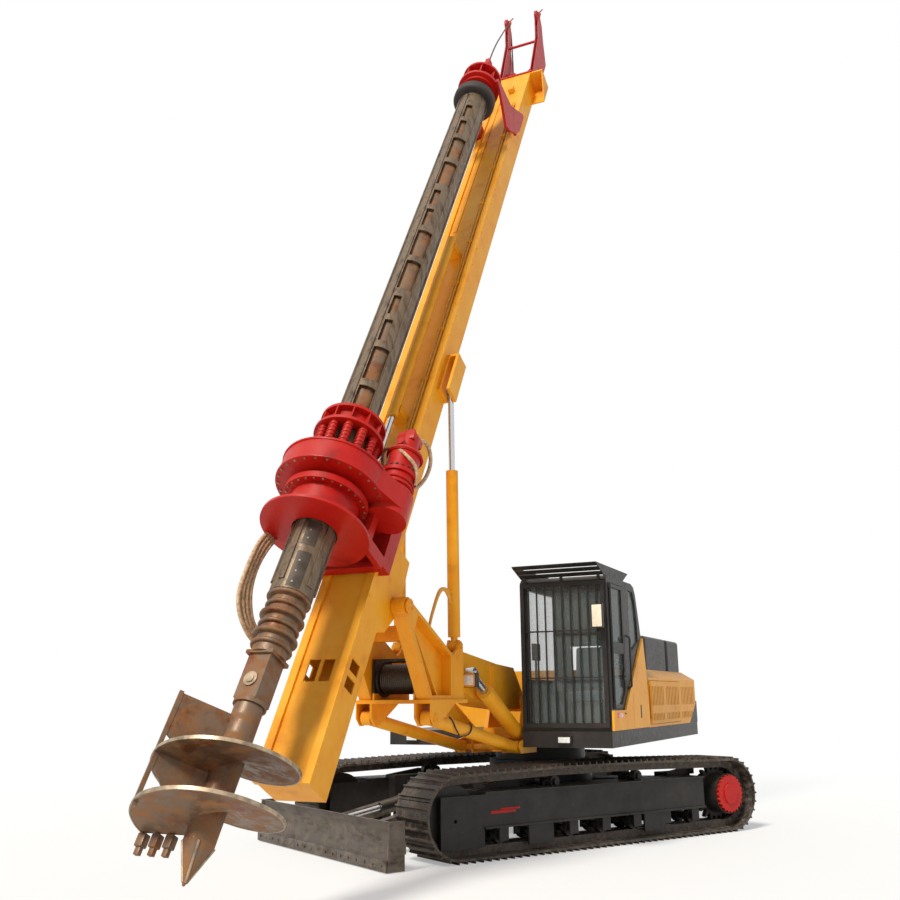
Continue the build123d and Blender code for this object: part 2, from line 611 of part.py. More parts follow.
def make_boom_bracket():
    """Foot bracket of the boom, with the lugs of the links and of the boom cylinders."""
    pieces = []
    y0, z1 = DECK_MID_FRONT_Y, SKIRT_Z1
    inner = BOOM_HALF + SIDE_GAP
    foot_y, foot_z = BOOM_FOOT
    cheek = [(foot_y - 420, z1), (foot_y + 225, z1), (foot_y + 90, foot_z + 60), (foot_y + 40, foot_z + 100),
             (foot_y - 60, foot_z + 95), (foot_y - 330, z1 + 120)]
    for x in (inner, -inner - 45):
        pieces.append(side_plate(cheek, x, x + 45))
    pieces.append(box(-inner - 45, inner + 45, foot_y - 420, foot_y + 225, z1, z1 + 25))
    pieces.append(bar_x(foot_y, foot_z, BOOM_PIN_R, -inner - 45, inner + 45))
    # front beam below the deck's edge and the lugs on it
    beam = box(-CAB_LANE, CAB_LANE, y0, y0 + 25, SKIRT_Z0 - 70, z1)
    pieces.append(beam)
    lug = [(y0 + 20, SKIRT_Z0 - 70), (LINK_REAR_Y + 10, LINK_REAR_Z - 68), (LINK_REAR_Y + 68, LINK_REAR_Z),
           (LINK_REAR_Y + 10, LINK_REAR_Z + 62), (BOOM_CYL_FOOT_Y + 60, BOOM_CYL_FOOT_Z + 62),
           (BOOM_CYL_FOOT_Y - 10, BOOM_CYL_FOOT_Z + 72), (y0 + 20, BOOM_CYL_FOOT_Z + 72)]
    lug_in, lug_out = BOOM_CYL_X - BOOM_CYL_R - 30, LINK_X + LINK_R + 8
    for a, b in ((lug_in, lug_in + 22), (lug_out, lug_out + 14)):
        pieces.append(side_plate(lug, a, b))
        pieces.append(side_plate(lug, -b, -a))
    # one shaft across carries both links; each cylinder foot has its own pin
    pieces.append(bar_x(LINK_REAR_Y, LINK_REAR_Z, LINK_PIN_R, -lug_out - 14, lug_out + 14))
    for sign in (-1, 1):
        low, high = sorted((sign * lug_in, sign * (lug_out + 14)))
        pieces.append(bar_x(BOOM_CYL_FOOT_Y, BOOM_CYL_FOOT_Z, 30, low, high))
    # foot plate that joins the cheeks to the front beam
    pieces.append(box(-inner - 45, inner + 45, foot_y + 200, y0 + 25, z1, z1 + 25))
    return fuse(pieces)


CAB_LANE = -CAB_IN_X - 1.0   # half width between the cab corner and the right platform


def tail_wedge(clear):
    """Side view (y, z) of the wedge below the side's cut corner, grown by clear."""
    return [(TAIL_CUT_Y + clear, SKIRT_Z1), (TAIL_REAR_Y - clear, SKIRT_Z1),
            (TAIL_REAR_Y - clear, TAIL_CUT_Z + clear / 2)]


def make_counterweight():
    """Cast weight: a wedge across the tail and the block inside the housing."""
    half = DECK_HALF
    wedge = side_plate(tail_wedge(0), -half, half)
    block = box(-half + SHEET + SIDE_GAP, half - SHEET - SIDE_GAP, HOUSE_REAR_Y + SHEET + SIDE_GAP,
                COUNTERWEIGHT_FRONT_Y, SKIRT_Z1, WEIGHT_BLOCK_TOP_Z)
    return wedge + block


def make_engine():
    """Engine as one plain block on the deck."""
    return box(-620, 520, -2020, -1120, SKIRT_Z1, SKIRT_Z1 + 480)


HOUSE_DOOR_FRONT = HOUSE_FRONT_Y - 50
HOUSE_DOOR_REAR = BAY_ENDS[1][1] - 30
SIDE_DOOR_Z0 = SKIRT_Z1 + 30
SIDE_DOOR_Z1 = HOUSE_TOP_Z - 30
LOUVRE_COUNT = 9           # slots in one bay
LOUVRE_WIDTH = 34.0
LOUVRE_ROWS = ((SKIRT_Z1 + 75, 85), (SKIRT_Z1 + 255, 235))  # lower edge, height


def louvres(ends, x0, x1):
    """Upright slots of one bay, in two rows."""
    front, rear = ends
    first, last = front - 70, rear + 70
    slots = []
    for low, tall in LOUVRE_ROWS:
        for i in range(LOUVRE_COUNT):
            y = first + (last - first) * i / (LOUVRE_COUNT - 1)
            slots.append(box(x0 - 1, x1 + 1, y - LOUVRE_WIDTH / 2, y + LOUVRE_WIDTH / 2, low, low + tall))
    return slots


def make_engine_house():
    """Sheet housing of the engine bay; the left side has a doorway and one fixed louvred bay."""
    half = DECK_HALF
    outer = box(-half, half, HOUSE_REAR_Y, HOUSE_FRONT_Y, SKIRT_Z1, HOUSE_TOP_Z)
    profile = [(-half, HOUSE_TOP_Z - 1), (-half, HOUSE_TOP_Z), (-half + HOOD_CHAMFER, HOOD_TOP_Z),
               (half - HOOD_CHAMFER, HOOD_TOP_Z), (half, HOUSE_TOP_Z), (half, HOUSE_TOP_Z - 1)]
    outer = outer + end_plate(profile, HOUSE_REAR_Y, HOUSE_FRONT_Y)
    inside = box(-half + SHEET, half - SHEET, HOUSE_REAR_Y + SHEET, HOUSE_FRONT_Y - SHEET,
                 SKIRT_Z1 - 1, HOUSE_TOP_Z - 10)
    roof = [(-half + SHEET, HOUSE_TOP_Z - 11), (-half + SHEET, HOUSE_TOP_Z - 10),
            (-half + HOOD_CHAMFER + 10, HOOD_TOP_Z - SHEET), (half - HOOD_CHAMFER - 10, HOOD_TOP_Z - SHEET),
            (half - SHEET, HOUSE_TOP_Z - 10), (half - SHEET, HOUSE_TOP_Z - 11)]
    inside = inside + end_plate(roof, HOUSE_REAR_Y + SHEET, HOOD_SLOPE_Y)
    inside = inside + end_plate(roof, HOOD_SLOPE_Y - 1, HOUSE_FRONT_Y - SHEET)
    # the hood falls at the tail, outside and inside alike
    slope = [(HOOD_SLOPE_Y, HOOD_TOP_Z), (HOUSE_REAR_Y, HOOD_TAIL_Z), (HOUSE_REAR_Y - 1, HOOD_TAIL_Z),
             (HOUSE_REAR_Y - 1, HOOD_TOP_Z + 1), (HOOD_SLOPE_Y, HOOD_TOP_Z + 1)]
    outer = outer - side_plate(slope, -half - 1, half + 1)
    inside = inside - Pos(0, 0, -SHEET) * side_plate(slope, -half - 1, half + 1)
    doorway = box(-half - 1, -half + SHEET + 1, HOUSE_DOOR_REAR, HOUSE_DOOR_FRONT, SIDE_DOOR_Z0, SIDE_DOOR_Z1)
    hinge = hinge_fixed(-half - HINGE_OUT, HOUSE_DOOR_FRONT, SIDE_DOOR_Z0 + SIDE_GAP, SIDE_DOOR_Z1 - SIDE_GAP,
                        -half, HOUSE_DOOR_FRONT + 40)
    house = outer - inside - doorway - side_plate(tail_wedge(SEAT_GAP), -half - 1, half + 1)
    for slot in louvres(BAY_ENDS[2], -half, -half + SHEET):
        house = house - slot
    return house + hinge


def make_side_door():
    """Louvred left door over two bays of the housing, hinged at its front edge."""
    gap = SIDE_GAP
    x0, x1 = -DECK_HALF, -DECK_HALF + SHEET
    y0, y1 = HOUSE_DOOR_REAR + gap, HOUSE_DOOR_FRONT - gap
    z0, z1 = SIDE_DOOR_Z0 + gap, SIDE_DOOR_Z1 - gap
    panel = box(x0, x1, y0, y1, z0, z1)
    for ends in BAY_ENDS[:2]:
        for slot in louvres(ends, x0, x1):
            panel = panel - slot
    barrel, bore = hinge_moving(x0 - HINGE_OUT, HOUSE_DOOR_FRONT, z0, z1, x0 + 1, y1 - 40)
    return panel + barrel - bore


def make_hood_boxes():
    """Two dark boxes (air cleaner and muffler cover) on the hood."""
    result = []
    for front, rear in HOOD_BOX_ENDS:
        item = box(-DECK_HALF + HOOD_CHAMFER + 5, -HOOD_BOX_IN, rear, front, HOOD_TOP_Z, HOOD_BOX_TOP_Z)
        item = fillet(item.edges().filter_by(Axis.Z), 70)
        result.append(fillet(item.faces().sort_by(Axis.Z)[-1].edges(), 45))
    return result


HOOD_BOX_ENDS = ((-420.0, -1590.0), (-1630.0, -2400.0))  # front and rear of each box
HOOD_BOX_IN = 700.0
HOOD_BOX_TOP_Z = 2375.0


CAB_OUTLINE = [(CAB_REAR_Y, SKIRT_Z1), (CAB_FRONT_Y - 22, SKIRT_Z1), (CAB_FRONT_Y - 22, CAB_TOP_Z - 40),
               (CAB_FRONT_Y - 70, CAB_TOP_Z), (CAB_REAR_Y + 470, CAB_TOP_Z), (CAB_REAR_Y + 360, CAB_TOP_Z - 32),
               (CAB_REAR_Y + 290, CAB_TOP_Z - 115), (CAB_REAR_Y + 228, CAB_TOP_Z - 290),
               (CAB_REAR_Y + 120, CAB_TOP_Z - 625), (CAB_REAR_Y, CAB_TOP_Z - 925)]


DOOR_TOP_Z = CAB_TOP_Z - 70
# left rear window (y, z)
REAR_PANE = [(CAB_REAR_Y + 625, CAB_TOP_Z - 90), (CAB_REAR_Y + 420, CAB_TOP_Z - 95),
             (CAB_REAR_Y + 345, CAB_TOP_Z - 190),
             (CAB_REAR_Y + 290, CAB_TOP_Z - 430), (CAB_REAR_Y + 270, CAB_TOP_Z - 670),
             (CAB_REAR_Y + 570, CAB_TOP_Z - 795), (CAB_REAR_Y + 640, CAB_TOP_Z - 740)]


def door_outline(gap):
    """Side view (y, z) of the doorway, or of the door that clears it by gap."""
    rear, front, low, high = DOOR_REAR_Y + gap, DOOR_FRONT_Y - gap, DOOR_Z0 + gap, DOOR_TOP_Z - gap
    return [(front, low), (front, high), (rear, high), (rear, DOOR_CUT_Z + gap / 2), (DOOR_CUT_Y + gap / 2, low)]


def inset(points, amount):
    """Outline shrunk by amount on every side."""
    face = make_face(Polyline(*points, close=True))
    return offset(face, -amount, kind=Kind.INTERSECTION)


def make_cab():
    """Hollow cab: walls, roof and floor, with the windows and the doorway cut."""
    x0, x1 = -DECK_HALF, CAB_IN_X
    shell = side_plate(CAB_OUTLINE, x0, x1)
    hollow = extrude(Plane.YZ * inset(CAB_OUTLINE, CAB_WALL), amount=x1 - x0 - 2 * CAB_WALL, dir=(1, 0, 0))
    shell = shell - Pos(x0 + CAB_WALL, 0, 0) * hollow
    front_y = CAB_FRONT_Y - 22
    # windscreen, rear window, boom-side window, left rear window
    cuts = [box(x0 + 75, x1 - 75, front_y - CAB_WALL - 1, front_y + 1, SKIRT_Z1 + 90, CAB_TOP_Z - 90),
            box(x0 + 110, x1 - 110, CAB_REAR_Y - 50, CAB_REAR_Y + CAB_WALL + 180, SKIRT_Z1 + 620, CAB_TOP_Z - 700),
            box(x1 - CAB_WALL - 1, x1 + 1, CAB_REAR_Y + 420, front_y - 110, SKIRT_Z1 + 560, CAB_TOP_Z - 110),
            side_plate(REAR_PANE, x0 - 1, x0 + CAB_WALL + 1),
            side_plate(door_outline(0), x0 - 1, x0 + CAB_WALL + 1)]
    for cut in cuts:
        shell = shell - cut
    hinge = hinge_fixed(x0 - HINGE_OUT, DOOR_FRONT_Y, DOOR_Z0 + SIDE_GAP, DOOR_TOP_Z - SIDE_GAP,
                        x0, DOOR_FRONT_Y + 30)
    return shell + hinge


def make_cab_glass():
    """Window panes, each inside its opening."""
    x0, x1 = -DECK_HALF, CAB_IN_X
    front_y = CAB_FRONT_Y - 22
    mid = CAB_WALL / 2
    front = box(x0 + 75, x1 - 75, front_y - mid - 3, front_y - mid + 3, SKIRT_Z1 + 90, CAB_TOP_Z - 90)
    right = box(x1 - mid - 3, x1 - mid + 3, CAB_REAR_Y + 420, front_y - 110, SKIRT_Z1 + 560, CAB_TOP_Z - 110)
    left = side_plate(REAR_PANE, x0 + mid - 3, x0 + mid + 3)
    return [front, right, left]


MIRROR_X = 1350.0
MIRROR_Z = 2470.0


def make_cab_guard():
    """Barred guard in front of the windscreen and the flared, slatted visor above it."""
    x0, x1 = -DECK_HALF + 20, CAB_IN_X - 10
    y0, y1 = CAB_FRONT_Y - 22, CAB_FRONT_Y + 14
    z0, z1 = SKIRT_Z1 + 40, GUARD_TOP_Z
    rim = 45
    frame = box(x0, x1, y0, y1, z0, z1) - box(x0 + rim, x1 - rim, y0 - 1, y1 + 1, z0 + rim, z1 - rim)
    pieces = [frame]
    for z in (SKIRT_Z1 + 560, SKIRT_Z1 + 1070):
        pieces.append(box(x0 + rim - 5, x1 - rim + 5, y0 + 6, y1 - 8, z, z + 16))
    count = 10
    for i in range(1, count):
        x = x0 + (x1 - x0) * i / count
        pieces.append(box(x - 7, x + 7, y0 + 14, y1 - 2, z0 + rim - 5, z1 - rim + 5))
    # struts from the guard's top up to the visor
    for x in (x0 + 60, (x0 + x1) / 2, x1 - 60):
        pieces.append(box(x - 15, x + 15, y0 + 5, y1 - 5, z1 - 10, VISOR_Z0 + 30))
    front, rear = CAB_FRONT_Y, VISOR_REAR_Y
    side = [(front - 30, VISOR_Z0), (front + VISOR_REACH, VISOR_Z1 - 10), (front + VISOR_REACH, VISOR_Z1),
            (rear - VISOR_REACH, VISOR_Z1), (rear, VISOR_Z0)]
    for x in (x0, x1 - 12):
        pieces.append(side_plate(side, x, x + 12))
    # slats across, up the sloping front and on the way back: y and z of each one's lower edge
    rise = VISOR_Z1 - VISOR_Z0
    for share in (0.02, 0.36, 0.70):
        y = front - 30 + (VISOR_REACH + 30) * share
        z = VISOR_Z0 + rise * share
        slat = [(y, z + 2), (y + 78, z + 28), (y + 78, z + 38), (y, z + 12)]
        pieces.append(side_plate(slat, x0 + 6, x1 - 6))
    for y in (front - 240, (front + rear) / 2 - 60, rear + 40):
        pieces.append(box(x0 + 6, x1 - 6, y, y + 50, VISOR_Z0 + 4, VISOR_Z0 + 18))
    # mirror on its arm at the outer front corner
    pieces.append(box(-MIRROR_X - 65, -MIRROR_X + 65, y1 + 90, y1 + 135, MIRROR_Z - 130, MIRROR_Z + 130))
    pieces.append(box(-MIRROR_X - 12, -MIRROR_X + 12, y1 - 6, y1 + 95, MIRROR_Z + 70, MIRROR_Z + 94))
    return fuse(pieces)


DOOR_PANE_X = -DECK_HALF + CAB_WALL / 2
DOOR_FRAME = 42.0          # door's rim round its panes
DOOR_RAIL_Z0 = 2085.0      # door's middle rail
DOOR_RAIL_Z1 = 2205.0


def door_panes(x0, x1):
    """Upper and lower window of the door, from x0 to x1."""
    front, rear = DOOR_FRONT_Y - SIDE_GAP - DOOR_FRAME, DOOR_REAR_Y + SIDE_GAP + DOOR_FRAME
    low, high = DOOR_Z0 + SIDE_GAP + DOOR_FRAME, DOOR_TOP_Z - SIDE_GAP - DOOR_FRAME
    lower = [(front, low), (front, DOOR_RAIL_Z0), (rear, DOOR_RAIL_Z0), (rear, DOOR_CUT_Z + DOOR_FRAME),
             (DOOR_CUT_Y + DOOR_FRAME, low)]
    return [box(x0, x1, rear, front, DOOR_RAIL_Z1, high), side_plate(lower, x0, x1)]


def make_cab_door():
    """Cab door with two windows cut, hinged at its front edge."""
    x0 = -DECK_HALF
    panel = side_plate(door_outline(SIDE_GAP), x0, x0 + CAB_WALL)
    for pane in door_panes(x0 - 1, x0 + CAB_WALL + 1):
        panel = panel - pane
    barrel, bore = hinge_moving(x0 - HINGE_OUT, DOOR_FRONT_Y, DOOR_Z0 + SIDE_GAP, DOOR_TOP_Z - SIDE_GAP,
                                x0 + 1, DOOR_FRONT_Y - SIDE_GAP - 40)
    return panel + barrel - bore


def make_door_glass():
    """Panes of the cab door."""
    return door_panes(DOOR_PANE_X - PANE / 2, DOOR_PANE_X + PANE / 2)


FAIRING_SEAM_Y = 785.0     # split line of the side panel
FAIRING_HANDLE_Y = 455.0   # recessed handle


def make_cab_fairing():
    """Yellow panel over the cab's lower rear side, along the door's slanted corner."""
    outline = [(CAB_FRONT_Y - 12, SKIRT_Z1 + 8), (CAB_FRONT_Y - 24, DOOR_Z0 - 12), (DOOR_CUT_Y - 8, DOOR_Z0 - 12),
               (DOOR_REAR_Y - 12, DOOR_CUT_Z - 6), (CAB_REAR_Y + 160, CAB_TOP_Z - 640),
               (CAB_REAR_Y + 120, CAB_TOP_Z - 625), (CAB_REAR_Y + 43, HOOD_TOP_Z), (CAB_REAR_Y - 43, SKIRT_Z1 + 8)]
    panel = side_plate(outline, -DECK_HALF - FAIRING, -DECK_HALF)
    seam = box(-DECK_HALF - FAIRING - 1, -DECK_HALF - FAIRING + 8, FAIRING_SEAM_Y - 5, FAIRING_SEAM_Y + 5,
               SKIRT_Z1, SKIRT_Z1 + 400)
    handle = box(-DECK_HALF - FAIRING - 1, -DECK_HALF - FAIRING + 12, FAIRING_HANDLE_Y - 28, FAIRING_HANDLE_Y + 28,
                 SKIRT_Z1 + 115, SKIRT_Z1 + 270)
    return panel - seam - handle


def make_seat():
    """Operator's seat on its base, with the side consoles."""
    xm = (-DECK_HALF + CAB_IN_X) / 2
    floor = SKIRT_Z1 + CAB_WALL
    y = CAB_REAR_Y + 620
    base = box(xm - 180, xm + 180, y - 160, y + 160, floor, floor + 260)
    cushion = box(xm - 240, xm + 240, y - 240, y + 240, floor + 260, floor + 400)
    back = side_plate([(y - 240, floor + 400), (y - 120, floor + 400), (y - 200, floor + 1000),
                       (y - 300, floor + 1000)], xm - 230, xm + 230)
    pieces = [base, cushion, back]
    for sign in (-1, 1):
        pieces.append(Pos(sign * 300, 0, 0) * box(xm - 60, xm + 60, y - 160, y + 320, floor + 380, floor + 520))
        pieces.append(Pos(sign * 270, 0, 0) * box(xm - 30, xm + 30, y - 60, y + 60, floor + 280, floor + 381))
        pieces.append(Pos(sign * 300, 0, 0) * post(xm, y + 280, 16, floor + 500, floor + 760))
    return fuse(pieces)


# ================================================================ boom and linkage
def make_boom():
    """Box boom from the foot bracket to the support frame."""
    fy, fz = BOOM_FOOT
    hy, hz = BOOM_HEAD
    outline = [(fy - 60, fz - 60), (fy + 260, fz - 70), (fy + 1000, fz - 20), (hy - 280, hz - 190),
               (hy - 20, hz - 95), (hy + 60, hz - 60), (hy + 70, hz + 50), (hy - 20, hz + 110), (hy - 150, hz + 215),
               (fy + 770, fz + 430), (fy + 260, fz + 400), (fy - 40, fz + 90), (fy - 95, fz + 30)]
    body = side_plate(outline, -BOOM_HALF + 30, BOOM_HALF - 30)
    pieces = [body,
              bar_x(fy, fz, 95, -BOOM_HALF, BOOM_HALF),
              bar_x(hy, hz, 95, -SIDE_IN + SIDE_GAP, SIDE_IN - SIDE_GAP)]
    # side stiffeners and the through pin of the cylinders
    pieces.append(box(-BOOM_HALF, BOOM_HALF, fy + 880, fy + 940, fz + 20, fz + 405))
    pieces.append(bar_x(BOOM_CYL_EYE_Y, BOOM_CYL_EYE_Z, 90, -BOOM_HALF, BOOM_HALF))
    boom = fuse(pieces)
    boom = boom - bar_x(fy, fz, BOOM_PIN_R + PIN_FIT, -400, 400)
    return boom - bar_x(hy, hz, BOOM_PIN_R + PIN_FIT, -400, 400)


def make_boom_tubes():
    return [make_cylinder_tube(s * BOOM_CYL_X, BOOM_CYL_FOOT, BOOM_CYL_EYE, BOOM_CYL_R, BOOM_ROD_R,
                               BOOM_CYL_LENGTH, BOOM_CYL_R - 5, 30, 62, 50) for s in (-1, 1)]


def make_boom_rods():
    """Rods with their eyes; each pin ends at the boom's side."""
    result = []
    for s in (-1, 1):
        rod = make_cylinder_rod(s * BOOM_CYL_X, BOOM_CYL_FOOT, BOOM_CYL_EYE, BOOM_ROD_R, 260, 45, 68)
        low, high = sorted((s * (BOOM_HALF + SEAT_GAP), s * (BOOM_CYL_X + 70)))
        result.append(rod + bar_x(*BOOM_CYL_EYE, 34, low, high))
    return result


def make_links():
    """Lower links, parallel to the line of the boom's pins."""
    result = []
    for s in (-1, 1):
        link = rod_between(0, LINK_REAR, LINK_FRONT, LINK_R)
        for y, z in (LINK_REAR, LINK_FRONT):
            link = link + bar_x(y, z, 66, -LINK_R + 12, LINK_R - 12)
        link = link - bar_x(*LINK_REAR, LINK_PIN_R + PIN_FIT, -100, 100)
        # the front eye is the linkage's open pivot: its bore clears the pin
        link = link - bar_x(*LINK_FRONT, LINK_PIN_R + OPEN_FIT, -100, 100)
        result.append(Pos(s * LINK_X, 0, 0) * link)
    return result


def make_support_frame():
    """Two box sides, the base plate with the link lugs, the cross beam and the mast pin."""
    py, pz = PIVOT_Y, PIVOT_Z
    fy, fz = MAST_CYL_FOOT
    top = BASE_Z
    outline = [(BASE_FRONT_Y - 20, top), (py + 62, pz - 40), (py + 30, pz + 70), (py - 50, pz + 60),
               (fy + 165, fz - 90), (fy + 60, fz - 20), (fy + 20, fz + 62), (fy - 50, fz + 40),
               (fy - 70, fz - 60), (BASE_REAR_Y + 20, top)]
    side = side_plate(outline, SIDE_IN, SIDE_OUT)
    side = side + bar_x(py, pz, PIVOT_BOSS_R, SIDE_IN, SIDE_OUT)
    slot_half = 35 + SIDE_GAP
    # fork for the mast cylinder's foot
    slot = box(MAST_CYL_X - slot_half, MAST_CYL_X + slot_half, fy - 110, fy + 130, fz - 85, fz + 120)
    side = side - slot
    side = side + bar_x(fy, fz, 30, SIDE_IN + 5, SIDE_OUT - 5)
    # recessed web between the front flange, the sloping flange and the rear post, with its rib
    web = SIDE_IN + 30
    recess = [(fy + 225, top + WEB_RIM), (BASE_FRONT_Y - 79, top + WEB_RIM), (py - 130, pz - 210),
              (py - 215, pz - 62), (fy + 225, fz - 100)]
    rib = [(py - 165, pz - 195), (py - 185, pz - 195), (fy + 440, top), (fy + 470, top)]
    side = side - side_plate(recess, web, SIDE_OUT + 1) + side_plate(rib, web - 1, SIDE_OUT - 20)
    pieces = [side, mirror(side, about=Plane.YZ)]
    # work lamp on the left rear post
    rear = BASE_REAR_Y + 20
    lamp = box(-LAMP_X - 78, -LAMP_X + 78, rear - 125, rear - 45, LAMP_Z - 66, LAMP_Z + 66)
    pieces.append(fillet(lamp.edges().filter_by(Axis.Y), 26))
    pieces.append(box(-SIDE_OUT + 20, -SIDE_OUT + 44, rear - 50, rear + 20, LAMP_Z - 14, LAMP_Z + 14))
    pieces.append(box(-BASE_HALF, BASE_HALF, BASE_REAR_Y, BASE_FRONT_Y, top - BASE_PLATE, top))
    pieces.append(box(-SIDE_IN, SIDE_IN, 3930, 4070, 2130, 2270))
    pieces.append(bar_x(*BOOM_HEAD, BOOM_PIN_R, -SIDE_IN - 10, SIDE_IN + 10))
    lug = [(LINK_FRONT[0] - 440, top - BASE_PLATE), (BASE_FRONT_Y, top - BASE_PLATE), (BASE_FRONT_Y, LINK_FRONT[1]),
           (LINK_FRONT[0] + 30, LINK_FRONT[1] - 72), (LINK_FRONT[0] - 40, LINK_FRONT[1] - 72)]
    for a, b in ((LINK_X - LINK_R - 8 - 24, LINK_X - LINK_R - 8), (LINK_X + LINK_R + 8, LINK_X + LINK_R + 8 + 10)):
        pieces.append(side_plate(lug, a, b))
        pieces.append(side_plate(lug, -b, -a))
    frame = fuse(pieces)
    pin_half = SIDE_OUT + 20
    frame = frame + bar_x(py, pz, PIVOT_PIN_R, -pin_half, pin_half)
    for s in (-1, 1):
        low, high = sorted((s * (LINK_X - LINK_R - 20), s * (LINK_X + LINK_R + 16)))
        frame = frame + bar_x(*LINK_FRONT, LINK_PIN_R, low, high)
    # winch brackets
    for s in (-1, 1):
        low, high = sorted((s * 205, s * 225))
        cheek = box(low, high, WINCH_Y - 175, WINCH_Y + 175, top - 1, WINCH_Z + 185)
        frame = frame + cheek + bar_x(WINCH_Y, WINCH_Z, 30, *sorted((s * 195, s * 225)))
    for y in (WINCH_Y - 175, WINCH_Y + 150):
        frame = frame + box(-215, 215, y, y + 25, WINCH_Z + 160, WINCH_Z + 185)
    return frame


def make_winch_drum():
    """Winch drum between its flanges."""
    drum = bar_x(WINCH_Y, WINCH_Z, WINCH_R, -185, 185)
    for x in (-200, 180):
        drum = drum + bar_x(WINCH_Y, WINCH_Z, WINCH_FLANGE_R, x, x + 20)
    return drum - bar_x(WINCH_Y, WINCH_Z, 30 + PIN_FIT, -201, -190) - bar_x(WINCH_Y, WINCH_Z, 30 + PIN_FIT, 190, 201)


def make_mast_tubes():
    return [make_cylinder_tube(s * MAST_CYL_X, MAST_CYL_FOOT, MAST_EYE, MAST_CYL_R, MAST_ROD_R,
                               MAST_CYL_LENGTH, 35, 30, 55, 90) for s in (-1, 1)]


def make_mast_rods():
    return [make_cylinder_rod(s * MAST_CYL_X, MAST_CYL_FOOT, MAST_EYE, MAST_ROD_R, 750, MAST_EYE_HALF, 50)
            for s in (-1, 1)]


# ================================================================ mast (mast frame)
def make_mast():
    """Box mast with guide rails, pivot bracket and cylinder brackets."""
    z0, z1 = MAST_FOOT_Z, MAST_TOP_Z
    face = MAST_FRONT - RAIL_PROUD
    pieces = [box(-MAST_HALF, MAST_HALF, MAST_BACK, face, z0, z1)]
    for s in (-1, 1):
        low, high = sorted((s * RAIL_IN, s * RAIL_OUT))
        pieces.append(box(low, high, MAST_FRONT - RAIL_DEPTH, MAST_FRONT, z0, z1 - 120))
    mast = fuse(pieces)
    w = MAST_WALL
    mast = mast - box(-MAST_HALF + w, MAST_HALF - w, MAST_BACK + w, face - w, z0 + 40, z1 - 40)
    # pivot bracket on the back
    back = MAST_BACK
    outline = [(back + 20, -340), (back + 20, 520), (back - 205, 520), (back - 245, 60), (back - 215, -90),
               (back - 120, -300)]
    bracket = side_plate(outline, -SIDE_IN + SIDE_GAP, SIDE_IN - SIDE_GAP)
    mast = mast + bracket
    mast = mast - box(-SIDE_IN + 60, SIDE_IN - 60, back - 180, back - 2, 110, 460)
    mast = mast - bar_x(-KELLY_OFFSET, 0, PIVOT_PIN_R + PIN_FIT, -400, 400)
    # windows in the front face and in the sides near the foot
    for x in (-70, 70):
        mast = mast - box(x - 55, x + 55, face - w - 1, face + 1, -1030, -820)
    for z in (-1040, -880):
        mast = mast - box(-MAST_HALF - 1, MAST_HALF + 1, -880, -740, z, z + 110)
    # cylinder brackets: inner cheek, outer cheek and the web between them
    half = MAST_EYE_LANE
    y, z = MAST_EYE_D, MAST_EYE_Z
    y0, y1 = y - 60, MAST_FRONT - RAIL_DEPTH - 80
    for s in (-1, 1):
        a, b = sorted((s * (MAST_HALF - 1), s * (MAST_CYL_X - half)))
        pieces = [box(a, b, y0, y1, z - 120, z + 420)]
        a, b = sorted((s * (MAST_CYL_X + half), s * (MAST_CYL_X + half + 30)))
        pieces.append(box(a, b, y0, y1, z - 120, z + 420))
        a, b = sorted((s * (MAST_HALF - 1), s * (MAST_CYL_X + half + 30)))
        pieces.append(box(a, b, y0, y1, z + 390, z + 420))
        mast = mast + pieces
    # open box with its gusset beside the mast's top, and the hook on the face
    out = -MAST_HALF - TOP_BOX_REACH
    mast = mast + [box(out, -MAST_HALF + 1, MAST_BACK, MAST_FRONT - 26, z1 - 30, z1 - 1),
                   box(out, -MAST_HALF + 1, MAST_BACK, MAST_BACK + 20, z1 - 420, z1 - 10),
                   side_plate([(MAST_BACK, z1 - 10), (MAST_FRONT - 30, z1 - 10), (MAST_BACK, z1 - 420)], out, out + 16),
                   box(-80, 0, face - 1, face + 70, z1 - 520, z1 - 440)]
    # cable channel along the face
    return mast + box(CHANNEL_X - 22, CHANNEL_X + 22, face - 1, face + 16, CHANNEL_Z0, z1 - 700)


def make_crowd_tube():
    """Crowd cylinder's tube on the mast's front, with its brackets."""
    tube = post(0, CROWD_D, CROWD_R, CROWD_Z0, CROWD_Z1)
    face = MAST_FRONT - RAIL_PROUD
    pieces = [tube]
    for z in (CROWD_Z0 + 60, CROWD_Z1 - 160):
        pieces.append(box(-70, 70, face, CROWD_D, z, z + 90))
    bore = post(0, CROWD_D, CROWD_ROD_R + SEAT_GAP, CROWD_Z0 - 1, CROWD_Z1 - 80)
    return fuse(pieces) - bore


def make_crowd_rod():
    """Crowd rod, fixed to the head's carriage."""
    return post(0, CROWD_D, CROWD_ROD_R, HEAD_PLATE_Z1, CROWD_Z1 - 1350)


HEAD_PLATE_Z1 = 1060.0


